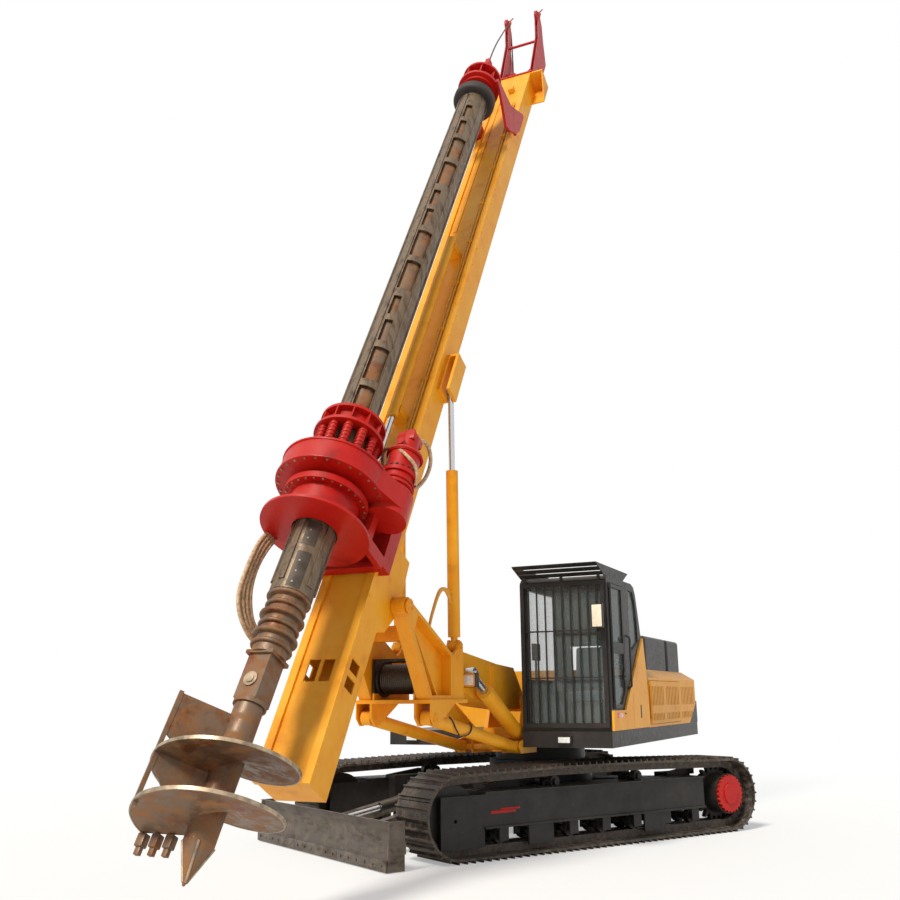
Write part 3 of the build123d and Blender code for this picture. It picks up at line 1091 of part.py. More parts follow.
def make_mast_head():
    """Two forward leaning horns of paired plates with the sheaves between them, and the box beside."""
    top, back = MAST_TOP_Z, MAST_BACK
    pieces = [box(-MAST_HALF - 30, MAST_HALF + 30, back, MAST_FRONT - 10, top, top + 30)]
    y, z = HEAD_APEX_Y, HEAD_APEX_Z
    horn = [(back, top + 30), (MAST_FRONT - 50, top + 30), (MAST_FRONT + 85, top + 880), (y + 42, z - 15),
            (y + 35, z + 42), (y - 20, z + 60), (y - 150, z - 20), (y - 290, z - 200), (back, z - 470)]
    inner_horn = [(back + 150, top + 30), (MAST_FRONT - 50, top + 30), (MAST_FRONT + 85, top + 880), (y + 42, z - 15),
                  (y + 35, z + 42), (y - 20, z + 60), (y - 110, z - 40), (back + 150, top + 560)]
    for s in (-1, 1):
        for inner, outline in ((212, inner_horn), (258, horn)):
            a, b = sorted((s * inner, s * (inner + 14)))
            pieces.append(side_plate(outline, a, b))
        pieces.append(bar_x(y, z, 18, *sorted((s * 205, s * 280))))
        # forked rope keeper over the sheave
        for spread in (-1, 1):
            prong = Rot(0, 22 * spread, 0) * Pos(0, 0, 60) * Cylinder(9, 140)
            pieces.append(Pos(s * 242, y + 5, z + 125) * prong)
        pieces.append(box(*sorted((s * 205, s * 279)), y - 20, y + 30, z + 112, z + 135))
        for inner in (205, 258):
            pieces.append(box(*sorted((s * inner, s * (inner + 21))), y - 20, y + 30, z, z + 135))
    pieces.append(Pos(0, HEAD_BAR_Y, HEAD_BAR_Z) * Rot(0, 90, 0) * Cylinder(20, 440))
    back_plate = box(-212, 212, back + 150, back + 170, top + 30, top + 420)
    notch = Pos(0, back + 160, top + 420) * Rot(90, 0, 0) * Cylinder(110, 100)
    pieces.append(back_plate - notch - box(-110, 110, back, back + 200, top + 420, top + 600))
    return fuse(pieces)


HEAD_APEX_Y = -415.0
HEAD_APEX_Z = MAST_TOP_Z + 1230.0
HEAD_BAR_Y = -600.0        # cross bar between the horns
HEAD_BAR_Z = MAST_TOP_Z + 850.0


def make_sheave(s):
    """Rope sheave between two cheeks."""
    a, b = sorted((s * 227, s * 257))
    wheel = bar_x(HEAD_APEX_Y, HEAD_APEX_Z, 105, a, b)
    return wheel - bar_x(HEAD_APEX_Y, HEAD_APEX_Z, 18 + PIN_FIT, a - 1, b + 1)


# ================================================================ rotary head (mast frame)
def make_head():
    """Gear housing with two lobes, and the carriage that rides the mast's rails."""
    drum = post(0, 0, DRUM_R, DRUM_Z0, DRUM_Z1)
    pieces = [drum]
    for s in (-1, 1):
        pieces.append(post(s * LOBE_X, LOBE_D, LOBE_R, DRUM_Z0 - 60, DRUM_Z1))
        pieces.append(plan_plate([(s * 300, -300), (s * (LOBE_X + LOBE_R - 8), LOBE_D + 60), (s * 440, 120),
                                  (s * 200, 100)], DRUM_Z0, DRUM_Z1 - 10))
    plate_back = MAST_FRONT + PAD_GAP
    pieces.append(box(-345, 345, plate_back, plate_back + 45, 60, HEAD_PLATE_Z1))
    pieces.append(box(-345, 345, plate_back + 40, -250, DRUM_Z0, DRUM_Z1 - 60))
    rail_back = MAST_FRONT - RAIL_DEPTH - PAD_GAP
    for s in (-1, 1):
        a, b = sorted((s * (RAIL_OUT + SIDE_GAP), s * 345))
        pieces.append(box(a, b, rail_back - 50, plate_back + 1, 60, HEAD_PLATE_Z1))
        a, b = sorted((s * (MAST_HALF + SIDE_GAP), s * (RAIL_OUT + SIDE_GAP + 1)))
        pieces.append(box(a, b, rail_back - 50, rail_back, 60, HEAD_PLATE_Z1))
        a, b = sorted((s * 290, s * 345))
        cheek = side_plate([(plate_back + 40, 25), (plate_back + 40, DRUM_Z0 + 1), (-255, DRUM_Z0 + 1), (-255, 25)], a, b)
        pieces.append(cheek - box(a - 1, b + 1, -590, -340, 140, 400))
    pieces.append(box(-290, 290, plate_back, -560, 25, 80))
    pieces.append(box(-80, 80, plate_back + 40, CROWD_D + 60, HEAD_PLATE_Z1 - 120, HEAD_PLATE_Z1))
    head = fuse(pieces)
    return head - post(0, 0, SLEEVE_R + SEAT_GAP, -100, DRUM_Z1 + 1)


SLEEVE_R = 300.0


def make_head_motors():
    """Gearboxes and hydraulic motors on the lobes."""
    result = []
    for s in (-1, 1):
        x, y = s * LOBE_X, LOBE_D
        pieces = [post(x, y, 150, DRUM_Z1, DRUM_Z1 + 470), post(x, y, 172, DRUM_Z1 + 190, DRUM_Z1 + 235),
                  post(x, y, 165, DRUM_Z1 + 440, DRUM_Z1 + 480), post(x, y, 95, DRUM_Z1 + 470, DRUM_Z1 + 690)]
        result.append(fuse(pieces))
    return result


def make_drive_sleeve():
    """Turning sleeve: slinger disc below, sprung buffer ring above."""
    pieces = [post(0, 0, SLEEVE_R, DISC_Z, DRUM_Z1 + 20),
              post(0, 0, 372, 290, 350),
              post(0, 0, 345, DISC_Z, 120),
              post(0, 0, DISC_R, DISC_Z, DISC_Z + DISC_THICKNESS),
              post(0, 0, SPRING_TOP_R - 8, DRUM_Z1 + SIDE_GAP, DRUM_Z1 + 40),
              post(0, 0, SPRING_TOP_R, SPRING_Z1, SPRING_Z1 + 30),
              post(0, 0, SPRING_TOP_R - 80, SPRING_Z1, SPRING_Z1 + 190),
              post(0, 0, SPRING_TOP_R - 20, SPRING_Z1 + 170, SPRING_Z1 + 200)]
    for i in range(SPRING_COUNT):
        a = 2 * pi * i / SPRING_COUNT
        x, y = SPRING_RING_R * cos(a), SPRING_RING_R * sin(a)
        pieces.append(post(x, y, SPRING_R, DRUM_Z1 + 30, SPRING_Z1 + 1))
        rib = box(SPRING_TOP_R - 90, SPRING_TOP_R - 22, -6, 6, SPRING_Z1 + 20, SPRING_Z1 + 180)
        pieces.append(Rot(0, 0, degrees(a)) * rib)
    sleeve = fuse(pieces)
    return sleeve - post(0, 0, SLEEVE_BORE_R, -50, SPRING_Z1 + 300)


# ================================================================ kelly and auger (mast frame)
def make_kelly():
    """Outer kelly tube with its drive keys and the lock windows between them, three alike sides."""
    z0, z1 = KELLY_Z0, KELLY_Z1
    pieces = [Rot(0, 0, SEAM_ANGLE) * post(0, 0, KELLY_R, z0, z1)]
    for side in range(3):
        for angle in KEY_ANGLES:
            key = box(KELLY_R - 6, KELLY_R + KEY_PROUD, -KEY_WIDTH / 2, KEY_WIDTH / 2, z0 + 80, RING_Z - 60)
            pieces.append(Rot(0, 0, 120 * side + angle) * key)
    kelly = fuse(pieces) - Rot(0, 0, SEAM_ANGLE) * post(0, 0, KELLY_R - KELLY_WALL, z0 - 1, z1 - 30)
    # windows, from the top down: angle of the middle, half width, upper and lower end
    for side in range(3):
        for group in range(WINDOW_GROUPS):
            for angle, half, high, low in KELLY_WINDOWS:
                drop = group * WINDOW_PERIOD
                hole = box(KELLY_R * 0.6, KELLY_R + 5, -half, half, low - drop, high - drop)
                kelly = kelly - Rot(0, 0, 120 * side + angle) * hole
    return kelly


KEY_ANGLES = (88.0, 169.0)
SEAM_ANGLE = 68.0          # plain stretch of wall between a key and a window
WINDOW_PERIOD = 1910.0
WINDOW_GROUPS = 3
KELLY_WINDOWS = ((117.0, 41.0, 6740.0, 6450.0), (117.0, 41.0, 6365.0, 6050.0),
                 (128.0, 80.0, 5960.0, 5510.0), (128.0, 80.0, 5420.0, 4950.0))


def make_buffer_ring():
    """Rubber buffer ring below the kelly's head."""
    body = post(0, 0, KELLY_R + 92, RING_Z, RING_Z + 150)
    body = fillet(body.edges(), 40)
    return body - post(0, 0, KELLY_R, RING_Z - 1, RING_Z + 151)


def make_kelly_guide():
    """Swivel housing above the kelly and the guide arms on the mast's rails."""
    z0 = KELLY_Z1 + SEAT_GAP
    lower = (Align.CENTER, Align.CENTER, Align.MIN)
    pieces = [post(0, 0, 225, z0, z0 + 60), post(0, 0, 272, z0 + 60, z0 + 105), post(0, 0, 170, z0 + 60, z0 + 330),
              post(0, 0, 258, z0 + 320, z0 + 360), Pos(0, 0, z0 + 360) * Cone(240, 70, 300, align=lower),
              post(0, 0, 70, z0 + 650, z0 + 740), box(-30, 30, -48, 48, z0 + 730, z0 + 880)]
    for i in range(GUIDE_RIBS):
        rib = box(160, 245, -8, 8, z0 + 100, z0 + 325)
        pieces.append(Rot(0, 0, 360 * (i + 0.5) / GUIDE_RIBS) * rib)
    plate_back = MAST_FRONT + SIDE_GAP
    rail_back = MAST_FRONT - RAIL_DEPTH - SIDE_GAP
    reach = rail_back - 60
    arm = [(60, z0 + 60), (60, z0 + 130), (-400, z0 + 230), (reach + 40, z0 + 560), (reach, z0 + 550),
           (reach, z0 + 180), (-700, z0 + 30), (-560, z0 - 150), (-440, z0 - 230), (-300, z0 - 130), (-60, z0 + 30)]
    for s in (-1, 1):
        a, b = sorted((s * (RAIL_OUT + SIDE_GAP), s * (RAIL_OUT + SIDE_GAP + 34)))
        pieces.append(side_plate(arm, a, b))
        a, b = sorted((s * (MAST_HALF + SIDE_GAP), s * (RAIL_OUT + SIDE_GAP + 1)))
        pieces.append(box(a, b, reach, rail_back + SIDE_GAP - PAD_GAP, z0 + 90, z0 + 400))
        a, b = sorted((s * (RAIL_IN + 10), s * (RAIL_OUT + SIDE_GAP + 1)))
        pieces.append(box(a, b, plate_back - SIDE_GAP + PAD_GAP, plate_back + 60, z0 + 20, z0 + 250))
        a, b = sorted((s * 150, s * (RAIL_OUT + SIDE_GAP + 1)))
        pieces.append(box(a, b, -60, 60, z0 + 60, z0 + 110))
    return fuse(pieces) - bar_x(0, z0 + 820, SWIVEL_EYE_R, -40, 40)


GUIDE_RIBS = 8


def make_inner_kelly():
    """Inner kelly with its washer stack, stop plate and square drive box."""
    z0 = KELLY_Z0
    bottom = STUB_Z0
    pieces = [post(0, 0, INNER_R, z0 - 540, KELLY_Z1 - 200)]
    inside = post(0, 0, INNER_R - INNER_WALL, z0 - 400, KELLY_Z1)
    for i in range(6):
        z = z0 - SEAT_GAP - 88 * i
        pieces.append(post(0, 0, 156 if i % 2 else 172, z - 34, z))
    pieces.append(box(-STOP_HALF, STOP_HALF, -STOP_HALF, STOP_HALF, z0 - 558, z0 - 530))
    pieces.append(box(-DRIVE_HALF, DRIVE_HALF, -DRIVE_HALF, DRIVE_HALF, bottom, z0 - 550))
    pin = Pos(0, 0, TOOL_PIN_Z) * Rot(90, 0, 0) * Cylinder(TOOL_PIN_R, 2 * (DRIVE_HALF + 9))
    pieces.append(pin)
    return fuse(pieces) - inside


STUB_Z0 = -1610.0
STOP_HALF = 122.0
DRIVE_HALF = 98.0          # square drive box that the tool is pinned to
TOOL_PIN_Z = -1462.0
TOOL_PIN_R = 40.0


def flight_z(angle):
    """Height of the flight's middle at a turn in degrees from its lower end."""
    return FLIGHT_Z0 + FLIGHT_PITCH * angle / 360


def make_auger():
    """Auger: stem, double-turn flight, brace bar with its plate, teeth and pilot point."""
    stem = post(0, 0, STEM_R, FLIGHT_Z0 - 60, STUB_Z0)
    collar = post(0, 0, DRIVE_HALF + 30, STUB_Z0 - 34, STUB_Z0)
    middle = (STEM_R - 20 + FLIGHT_R) / 2
    path = Helix(pitch=FLIGHT_PITCH, height=FLIGHT_PITCH * FLIGHT_TURNS, radius=middle)
    start = Plane(origin=path @ 0, z_dir=path % 0, x_dir=(1, 0, 0))
    flight = sweep(start * Rectangle(FLIGHT_R - STEM_R + 20, FLIGHT_THICKNESS), path=path, is_frenet=True)
    flight = Pos(0, 0, FLIGHT_Z0) * flight

    low, high = flight_z(BRACE_ANGLE), flight_z(BRACE_ANGLE + 360)
    inner, outer = STEM_R - 20, FLIGHT_R - 20
    outline = [(inner, low), (inner + 200, low), (inner + 250, low + 100), (outer, high - 90), (outer, high + 5),
               (outer - 105, high + 20), (outer - 90, high + 85), (outer, high + 140), (outer, BRACE_TOP_Z),
               (inner, BRACE_TOP_Z)]
    bar = box(FLIGHT_R - 32, FLIGHT_R, -16, 16, low - 40, BRACE_TOP_Z + 12)
    brace = Rot(0, 0, BRACE_ANGLE) * fuse([end_plate(outline, -BRACE_HALF, BRACE_HALF), bar])

    pieces = [stem, collar, flight, brace]
    pieces.append(box(STEM_R - 20, FLIGHT_R, -14, 14, FLIGHT_Z0 - 66, FLIGHT_Z0 + 10))
    spacing = (FLIGHT_R - STEM_R) / (TOOTH_COUNT + 0.35)
    for i in range(TOOTH_COUNT):
        x = FLIGHT_R - TOOTH_HALF - 8 - spacing * i
        pieces.append(box(x - TOOTH_HALF, x + TOOTH_HALF, -14, 14, FLIGHT_Z0 - 142, FLIGHT_Z0 - 56))
    height = FLIGHT_Z0 - 60 - TIP_Z
    pilot = Pos(0, 0, TIP_Z) * Cone(8, STEM_R, height, align=(Align.CENTER, Align.CENTER, Align.MIN))
    pieces.append(pilot)
    return fuse(pieces)


# ================================================================ writing the parts
def main():
    for name, side in (("left", -1), ("right", 1)):
        save(f"track_{name}", make_track(side))
    save("track_frames", make_track_frame())
    save("sprockets", make_sprockets())
    save("drive_covers", make_drive_covers())
    save("carbody", make_carbody())
    save("dozer_blade", make_blade())
    save("blade_cylinder_tube", make_cylinder_tube(0, BLADE_FOOT, BLADE_EYE, BLADE_CYL_R, BLADE_ROD_R, BLADE_CYL_LENGTH,
                                                   BLADE_LUG - 8, BLADE_PIN_R, 42, 38))
    save("blade_cylinder_rod", make_cylinder_rod(0, BLADE_FOOT, BLADE_EYE, BLADE_ROD_R, 300, 35 - SEAT_GAP, 40))

    upper = {
        "deck": make_deck, "boom_bracket": make_boom_bracket, "counterweight": make_counterweight,
        "engine_block": make_engine, "engine_house": make_engine_house, "side_door": make_side_door,
        "hood_boxes": make_hood_boxes, "cab_shell": make_cab,
        "cab_glass": make_cab_glass, "cab_guard": make_cab_guard, "cab_door": make_cab_door,
        "cab_door_glass": make_door_glass, "cab_fairing": make_cab_fairing, "operator_seat": make_seat,
        "boom": make_boom, "boom_cylinder_tubes": make_boom_tubes, "boom_cylinder_rods": make_boom_rods,
        "lower_links": make_links, "support_frame": make_support_frame, "winch_drum": make_winch_drum,
        "mast_cylinder_tubes": make_mast_tubes, "mast_cylinder_rods": make_mast_rods,
    }
    for node, make in upper.items():
        save(node, make(), S_LOC)
    on_mast = {
        "mast": make_mast, "crowd_cylinder_tube": make_crowd_tube, "crowd_cylinder_rod": make_crowd_rod,
        "mast_head": make_mast_head, "rotary_head": make_head, "head_motors": make_head_motors,
        "drive_sleeve": make_drive_sleeve, "kelly_outer": make_kelly, "kelly_buffer": make_buffer_ring,
        "kelly_guide": make_kelly_guide, "kelly_inner": make_inner_kelly,
        "auger": make_auger,
    }
    for node, make in on_mast.items():
        save(node, make(), M_LOC)
    for name, side in (("left", -1), ("right", 1)):
        save(f"head_sheave_{name}", make_sheave(side), M_LOC)


main()
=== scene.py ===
# %% [markdown]
# # Dressing a rotary piling rig in Blender
# The CAD model gives every rigid form of the machine: tracks, slewing deck, cab, leaning mast, rotary
# head, kelly bar and auger. This lesson loads it as a fixed frame and adds what makes it look real: the
# paints and bare steels, glass, springs, ropes, hoses, bolts and the seat in the cab.

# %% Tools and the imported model
import math

import bmesh
import bpy
import json
from mathutils import Matrix, Vector

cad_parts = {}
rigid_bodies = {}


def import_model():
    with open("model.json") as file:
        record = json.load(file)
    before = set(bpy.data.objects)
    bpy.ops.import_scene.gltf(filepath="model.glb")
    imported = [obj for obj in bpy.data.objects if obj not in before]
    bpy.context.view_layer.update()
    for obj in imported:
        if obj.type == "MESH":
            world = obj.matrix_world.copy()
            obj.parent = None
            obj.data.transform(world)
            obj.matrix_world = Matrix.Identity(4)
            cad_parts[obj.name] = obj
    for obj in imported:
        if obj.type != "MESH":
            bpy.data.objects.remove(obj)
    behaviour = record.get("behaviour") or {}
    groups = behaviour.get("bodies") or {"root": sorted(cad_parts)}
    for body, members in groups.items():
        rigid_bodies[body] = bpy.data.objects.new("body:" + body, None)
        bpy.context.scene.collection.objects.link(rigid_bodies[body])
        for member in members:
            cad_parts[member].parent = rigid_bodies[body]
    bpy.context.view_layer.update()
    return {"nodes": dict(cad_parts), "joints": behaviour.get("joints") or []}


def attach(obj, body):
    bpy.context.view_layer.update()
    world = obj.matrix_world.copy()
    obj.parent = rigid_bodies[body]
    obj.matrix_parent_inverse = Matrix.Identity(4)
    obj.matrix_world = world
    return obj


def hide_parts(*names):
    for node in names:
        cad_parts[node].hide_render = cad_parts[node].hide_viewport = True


for leftover in list(bpy.data.objects):
    bpy.data.objects.remove(leftover)
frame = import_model()
scene = bpy.context.scene

# %% [markdown]
# ## Working frames
# The upper structure is turned on the tracks and the mast leans back, so sizes are easiest to give in
# frames that turn with them. Their axes come from the model's own joints: the boom's pin runs across the
# house, and the drive sleeve turns about the drilling axis. All sizes below are in millimetres.

# %% Frames of the ground, the house and the mast
MM = 0.001
joints = {joint["name"]: joint for joint in frame["joints"]}


def frame_of(x_axis, z_axis, origin):
    """Matrix of a frame with that x and z axis."""
    x, z = Vector(x_axis).normalized(), Vector(z_axis).normalized()
    place = Matrix((x, z.cross(x), z)).transposed().to_4x4()
    place.translation = Vector(origin)
    return place


GROUND = Matrix.Identity(4)
HOUSE = frame_of(joints["boom_lift"]["axis"], (0, 0, 1), (0, 0, 0))
MAST = frame_of(joints["mast_tilt"]["axis"], joints["sleeve_spin"]["axis"], joints["sleeve_spin"]["pos_m"])
turned_by = math.degrees(math.atan2(HOUSE[1][0], HOUSE[0][0]))
print("house turned by", round(turned_by, 2), "degrees")

# %% [markdown]
# ## Camera, light and floor
# The camera stands low in front of the machine's left corner and looks up at it. A soft high sun from the
# front lights the mast's face, and an even sky fills the shadows, so that a paint shows about the colour it
# was given. The floor fades to white away from the machine.

# %% Camera
YAW, PITCH, ROLL = math.radians(55.308), math.radians(14.073), math.radians(-0.512)
ahead = Vector((math.sin(YAW) * math.cos(PITCH), -math.cos(YAW) * math.cos(PITCH), math.sin(PITCH)))
right = ahead.cross(Vector((0, 0, 1))).normalized()
above = right.cross(ahead)
level_right, level_above = right, above
right = level_right * math.cos(ROLL) + level_above * math.sin(ROLL)
above = level_above * math.cos(ROLL) - level_right * math.sin(ROLL)
camera_data = bpy.data.cameras.new("camera")
camera_data.sensor_width = 36.0
camera_data.lens = 39.726
camera_data.clip_end = 300.0
camera = bpy.data.objects.new("camera", camera_data)
camera.matrix_world = Matrix((right, above, -ahead)).transposed().to_4x4()
camera.location = (-10.1257, 8.3496, 1.6045)
scene.collection.objects.link(camera)
scene.camera = camera
print("camera looks along", [round(v, 3) for v in ahead])

# %% One function for colours and one for nodes


def linear(code):
    """Linear colour of an sRGB hex code."""
    parts = [int(code[i:i + 2], 16) / 255 for i in (1, 3, 5)]
    return tuple(c / 12.92 if c <= 0.04045 else ((c + 0.055) / 1.055) ** 2.4 for c in parts) + (1.0,)


def add(tree, kind, values=None, links=None, **settings):
    """Adds a node: settings are its own properties, values and links go to its inputs."""
    made = tree.nodes.new(kind)
    for key, value in settings.items():
        setattr(made, key, value)
    for key, value in (values or {}).items():
        made.inputs[key].default_value = value
    for key, source in (links or {}).items():
        tree.links.new(source, made.inputs[key])
    return made


# %% Light and sky
sun_data = bpy.data.lights.new("sun", "SUN")
sun_data.energy = 3.1
sun_data.angle = math.radians(14)
sun_data.color = (1.0, 0.965, 0.90)
sun = bpy.data.objects.new("sun", sun_data)
sun.rotation_mode = "QUATERNION"
sun.rotation_quaternion = Vector((-0.28, 0.62, 0.74)).to_track_quat("Z", "Y")
scene.collection.objects.link(sun)

world = bpy.data.worlds.new("sky")
scene.world = world
world.use_nodes = True
sky = world.node_tree
sky.nodes.clear()
path = add(sky, "ShaderNodeLightPath")
seen = add(sky, "ShaderNodeMath", operation="MAXIMUM",
           links={0: path.outputs["Is Camera Ray"], 1: path.outputs["Is Glossy Ray"]})
seen = add(sky, "ShaderNodeMath", links={0: seen.outputs[0], 1: path.outputs["Is Transmission Ray"]},
           operation="MAXIMUM")
ambient = add(sky, "ShaderNodeBackground", {"Color": linear("#dfe8f2"), "Strength": 0.52})
white = add(sky, "ShaderNodeBackground", {"Color": (1, 1, 1, 1), "Strength": 1.0})
blend = add(sky, "ShaderNodeMixShader",
            links={0: seen.outputs[0], 1: ambient.outputs[0], 2: white.outputs[0]})
add(sky, "ShaderNodeOutputWorld", links={"Surface": blend.outputs[0]})
scene.view_settings.view_transform = "Standard"

# %% Floor
floor_mesh = bpy.data.meshes.new("floor")
shape = bmesh.new()
bmesh.ops.create_grid(shape, x_segments=2, y_segments=2, size=90)
shape.to_mesh(floor_mesh)
shape.free()
floor = bpy.data.objects.new("floor", floor_mesh)
scene.collection.objects.link(floor)
pale = bpy.data.materials.new("pale_studio_floor")
pale.use_nodes = True
tree = pale.node_tree
tree.nodes.clear()
place = add(tree, "ShaderNodeTexCoord")
reach = add(tree, "ShaderNodeVectorMath", links={0: place.outputs["Object"]}, operation="LENGTH")
fade = add(tree, "ShaderNodeMapRange", {"From Min": 5.0, "From Max": 13.0, "To Min": 0.35, "To Max": 1.0},
           {"Value": reach.outputs["Value"]}, interpolation_type="SMOOTHSTEP")
rays = add(tree, "ShaderNodeLightPath")
part = add(tree, "ShaderNodeMath", operation="MULTIPLY",
           links={0: fade.outputs[0], 1: rays.outputs["Is Camera Ray"]})
matt = add(tree, "ShaderNodeBsdfDiffuse", {"Color": linear("#f4f3f0")})
glow = add(tree, "ShaderNodeEmission", {"Color": (1, 1, 1, 1), "Strength": 1.0})
both = add(tree, "ShaderNodeMixShader", links={0: part.outputs[0], 1: matt.outputs[0], 2: glow.outputs[0]})
add(tree, "ShaderNodeOutputMaterial", links={"Surface": both.outputs[0]})
floor_mesh.materials.append(pale)
print("floor, sun and sky are set")

# %% [markdown]
# ## Machine enamel
# The frames, covers and housings are steel plate sprayed with two coats of machine enamel. It is glossy
# when new. Here it has worked outdoors: the colour has bleached in patches as large as a hand, thin dirt has
# run down the sides, dust lies on what faces up, and the gloss is uneven. All of that is drawn with noise
# over the object's own coordinates, with each scale taken from a real size.

# %% Enamel


def per_metre(millimetres):
    """Scale of a pattern whose detail has that size."""
    return 1000.0 / millimetres


def surface(name):
    """A new material's tree and its coordinates, with the nodes that every finish starts from."""
    made = bpy.data.materials.new(name)
    made.use_nodes = True
    made.node_tree.nodes.clear()
    return made, made.node_tree, add(made.node_tree, "ShaderNodeTexCoord").outputs["Object"]


def ramp(tree, source, stops):
    """Colour ramp whose stops are (place, colour)."""
    made = add(tree, "ShaderNodeValToRGB", links={"Fac": source})
    band = made.color_ramp
    while len(band.elements) < len(stops):
        band.elements.new(0.5)
    for element, (where, colour) in zip(band.elements, stops):
        element.position = where
        element.color = colour
    return made.outputs["Color"]


def grey(value):
    return (value, value, value, 1.0)


def over(tree, share, lower, upper, how="MIX"):
    """Upper colour laid over the lower one by share."""
    made = add(tree, "ShaderNodeMix", data_type="RGBA", blend_type=how)
    for index, source in ((0, share), (6, lower), (7, upper)):
        if isinstance(source, (float, tuple)):
            made.inputs[index].default_value = source
        else:
            tree.links.new(source, made.inputs[index])
    return made.outputs[2]


def enamel(name, base, faded, grime, gloss=0.34, dust=0.5, dust_colour="#b3a183", runs=0.35, second=None):
    """Weathered machine enamel; second is (colour, low corner, high corner) of a box in the house's frame."""
    made, tree, where = surface(name)
    # bleached and greasy patches, about 350 mm across
    patches = add(tree, "ShaderNodeTexNoise", {"Scale": per_metre(350), "Detail": 5.0, "Roughness": 0.6},
                  {"Vector": where})
    colour = ramp(tree, patches.outputs["Fac"],
                  ((0.28, linear(grime)), (0.42, linear(base)), (0.80, linear(faded))))
    if second:
        paint, low, high = second
        turn = add(tree, "ShaderNodeMapping", {"Rotation": (0, 0, -math.radians(turned_by))},
                   {"Vector": where})
        sides = add(tree, "ShaderNodeSeparateXYZ", links={"Vector": turn.outputs[0]})
        inside = None
        for axis in range(3):
            half = (high[axis] - low[axis]) / 2
            test = add(tree, "ShaderNodeMath", {1: (high[axis] + low[axis]) / 2, 2: half},
                       {0: sides.outputs[axis]}, operation="COMPARE").outputs[0]
            if inside is not None:
                both_axes = add(tree, "ShaderNodeMath", links={0: inside, 1: test}, operation="MULTIPLY")
                test = both_axes.outputs[0]
            inside = test
        colour = over(tree, inside, colour, linear(paint))
    # dirt that has run down: noise drawn out tenfold along the height
    stretch = add(tree, "ShaderNodeMapping", {"Scale": (14.0, 14.0, 1.3)}, {"Vector": where})
    streaks = add(tree, "ShaderNodeTexNoise", {"Scale": 1.0, "Detail": 4.0, "Roughness": 0.65},
                  {"Vector": stretch.outputs[0]})
    wet = ramp(tree, streaks.outputs["Fac"], ((0.52, grey(0.0)), (0.78, grey(runs))))
    colour = over(tree, wet, colour, linear(grime))
    # chipped and scuffed spots of up to 45 mm
    scuffs = add(tree, "ShaderNodeTexNoise", {"Scale": per_metre(45), "Detail": 8.0, "Roughness": 0.7},
                 {"Vector": where})
    worn = ramp(tree, scuffs.outputs["Fac"], ((0.66, grey(0.0)), (0.72, grey(0.55))))
    colour = over(tree, worn, colour, linear("#6d5d4b"))
    # dust on what faces up
    facing = add(tree, "ShaderNodeNewGeometry")
    height = add(tree, "ShaderNodeSeparateXYZ", links={"Vector": facing.outputs["Normal"]})
    lying = add(tree, "ShaderNodeMapRange", {"From Min": 0.35, "From Max": 0.95, "To Max": dust},
                {"Value": height.outputs["Z"]})
    broken = add(tree, "ShaderNodeMath", operation="MULTIPLY",
                 links={0: lying.outputs[0], 1: patches.outputs["Fac"]})
    colour = over(tree, broken.outputs[0], colour, linear(dust_colour))
    rough = add(tree, "ShaderNodeMapRange",
                {"From Min": 0.3, "From Max": 0.7, "To Min": gloss, "To Max": gloss + 0.22},
                {"Value": scuffs.outputs["Fac"]})
    ripple = add(tree, "ShaderNodeTexNoise", {"Scale": per_metre(90), "Detail": 3.0}, {"Vector": where})
    bump = add(tree, "ShaderNodeBump", {"Strength": 0.16, "Distance": 0.01},
               {"Height": ripple.outputs["Fac"]})
    skin = add(tree, "ShaderNodeBsdfPrincipled", {"IOR": 1.5, "Specular IOR Level": 0.3},
               {"Base Color": colour, "Roughness": rough.outputs[0], "Normal": bump.outputs[0]})
    add(tree, "ShaderNodeOutputMaterial", links={"Surface": skin.outputs[0]})
    return made


WINCH_BLACK = ("#23201d", (-0.232, 3.545, 1.66), (0.232, 3.935, 1.99))
yellow = enamel("yellow_machine_enamel", "#f3a012", "#fab52f", "#d98a12", gloss=0.34, dust=0.3, runs=0.2)
frame_yellow = enamel("yellow_enamel_by_the_winch", "#f09a0e", "#f6ad24", "#cf8010", gloss=0.34, dust=0.3,
                      second=WINCH_BLACK)
red = enamel("red_machine_enamel", "#b50f07", "#bf2213", "#8c1208", gloss=0.30, dust=0.55,
             dust_colour="#c07a68", runs=0.2)
black = enamel("black_satin_enamel", "#24211f", "#37332f", "#161412", gloss=0.36, dust=0.55,
               dust_colour="#8d8069", runs=0.15)
house_yellow = enamel("yellow_enamel_dusty_house", "#f0a01a", "#f5b23a", "#cf8818", gloss=0.36, dust=1.2,
                      dust_colour="#7a6a54", runs=0.25)
print("enamels", [m.name for m in (yellow, frame_yellow, red, black, house_yellow)])

# %% [markdown]
# ## Bare steels
# The kelly bar, the auger, the tracks and the blade carry no paint. Rolled steel that slides in soil is
# rubbed brown and half bright: metal with a thin skin of rust and dried earth. The cylinder rods are hard
# chrome, ground smooth, so they are nearly a mirror.

# %% Worked steel


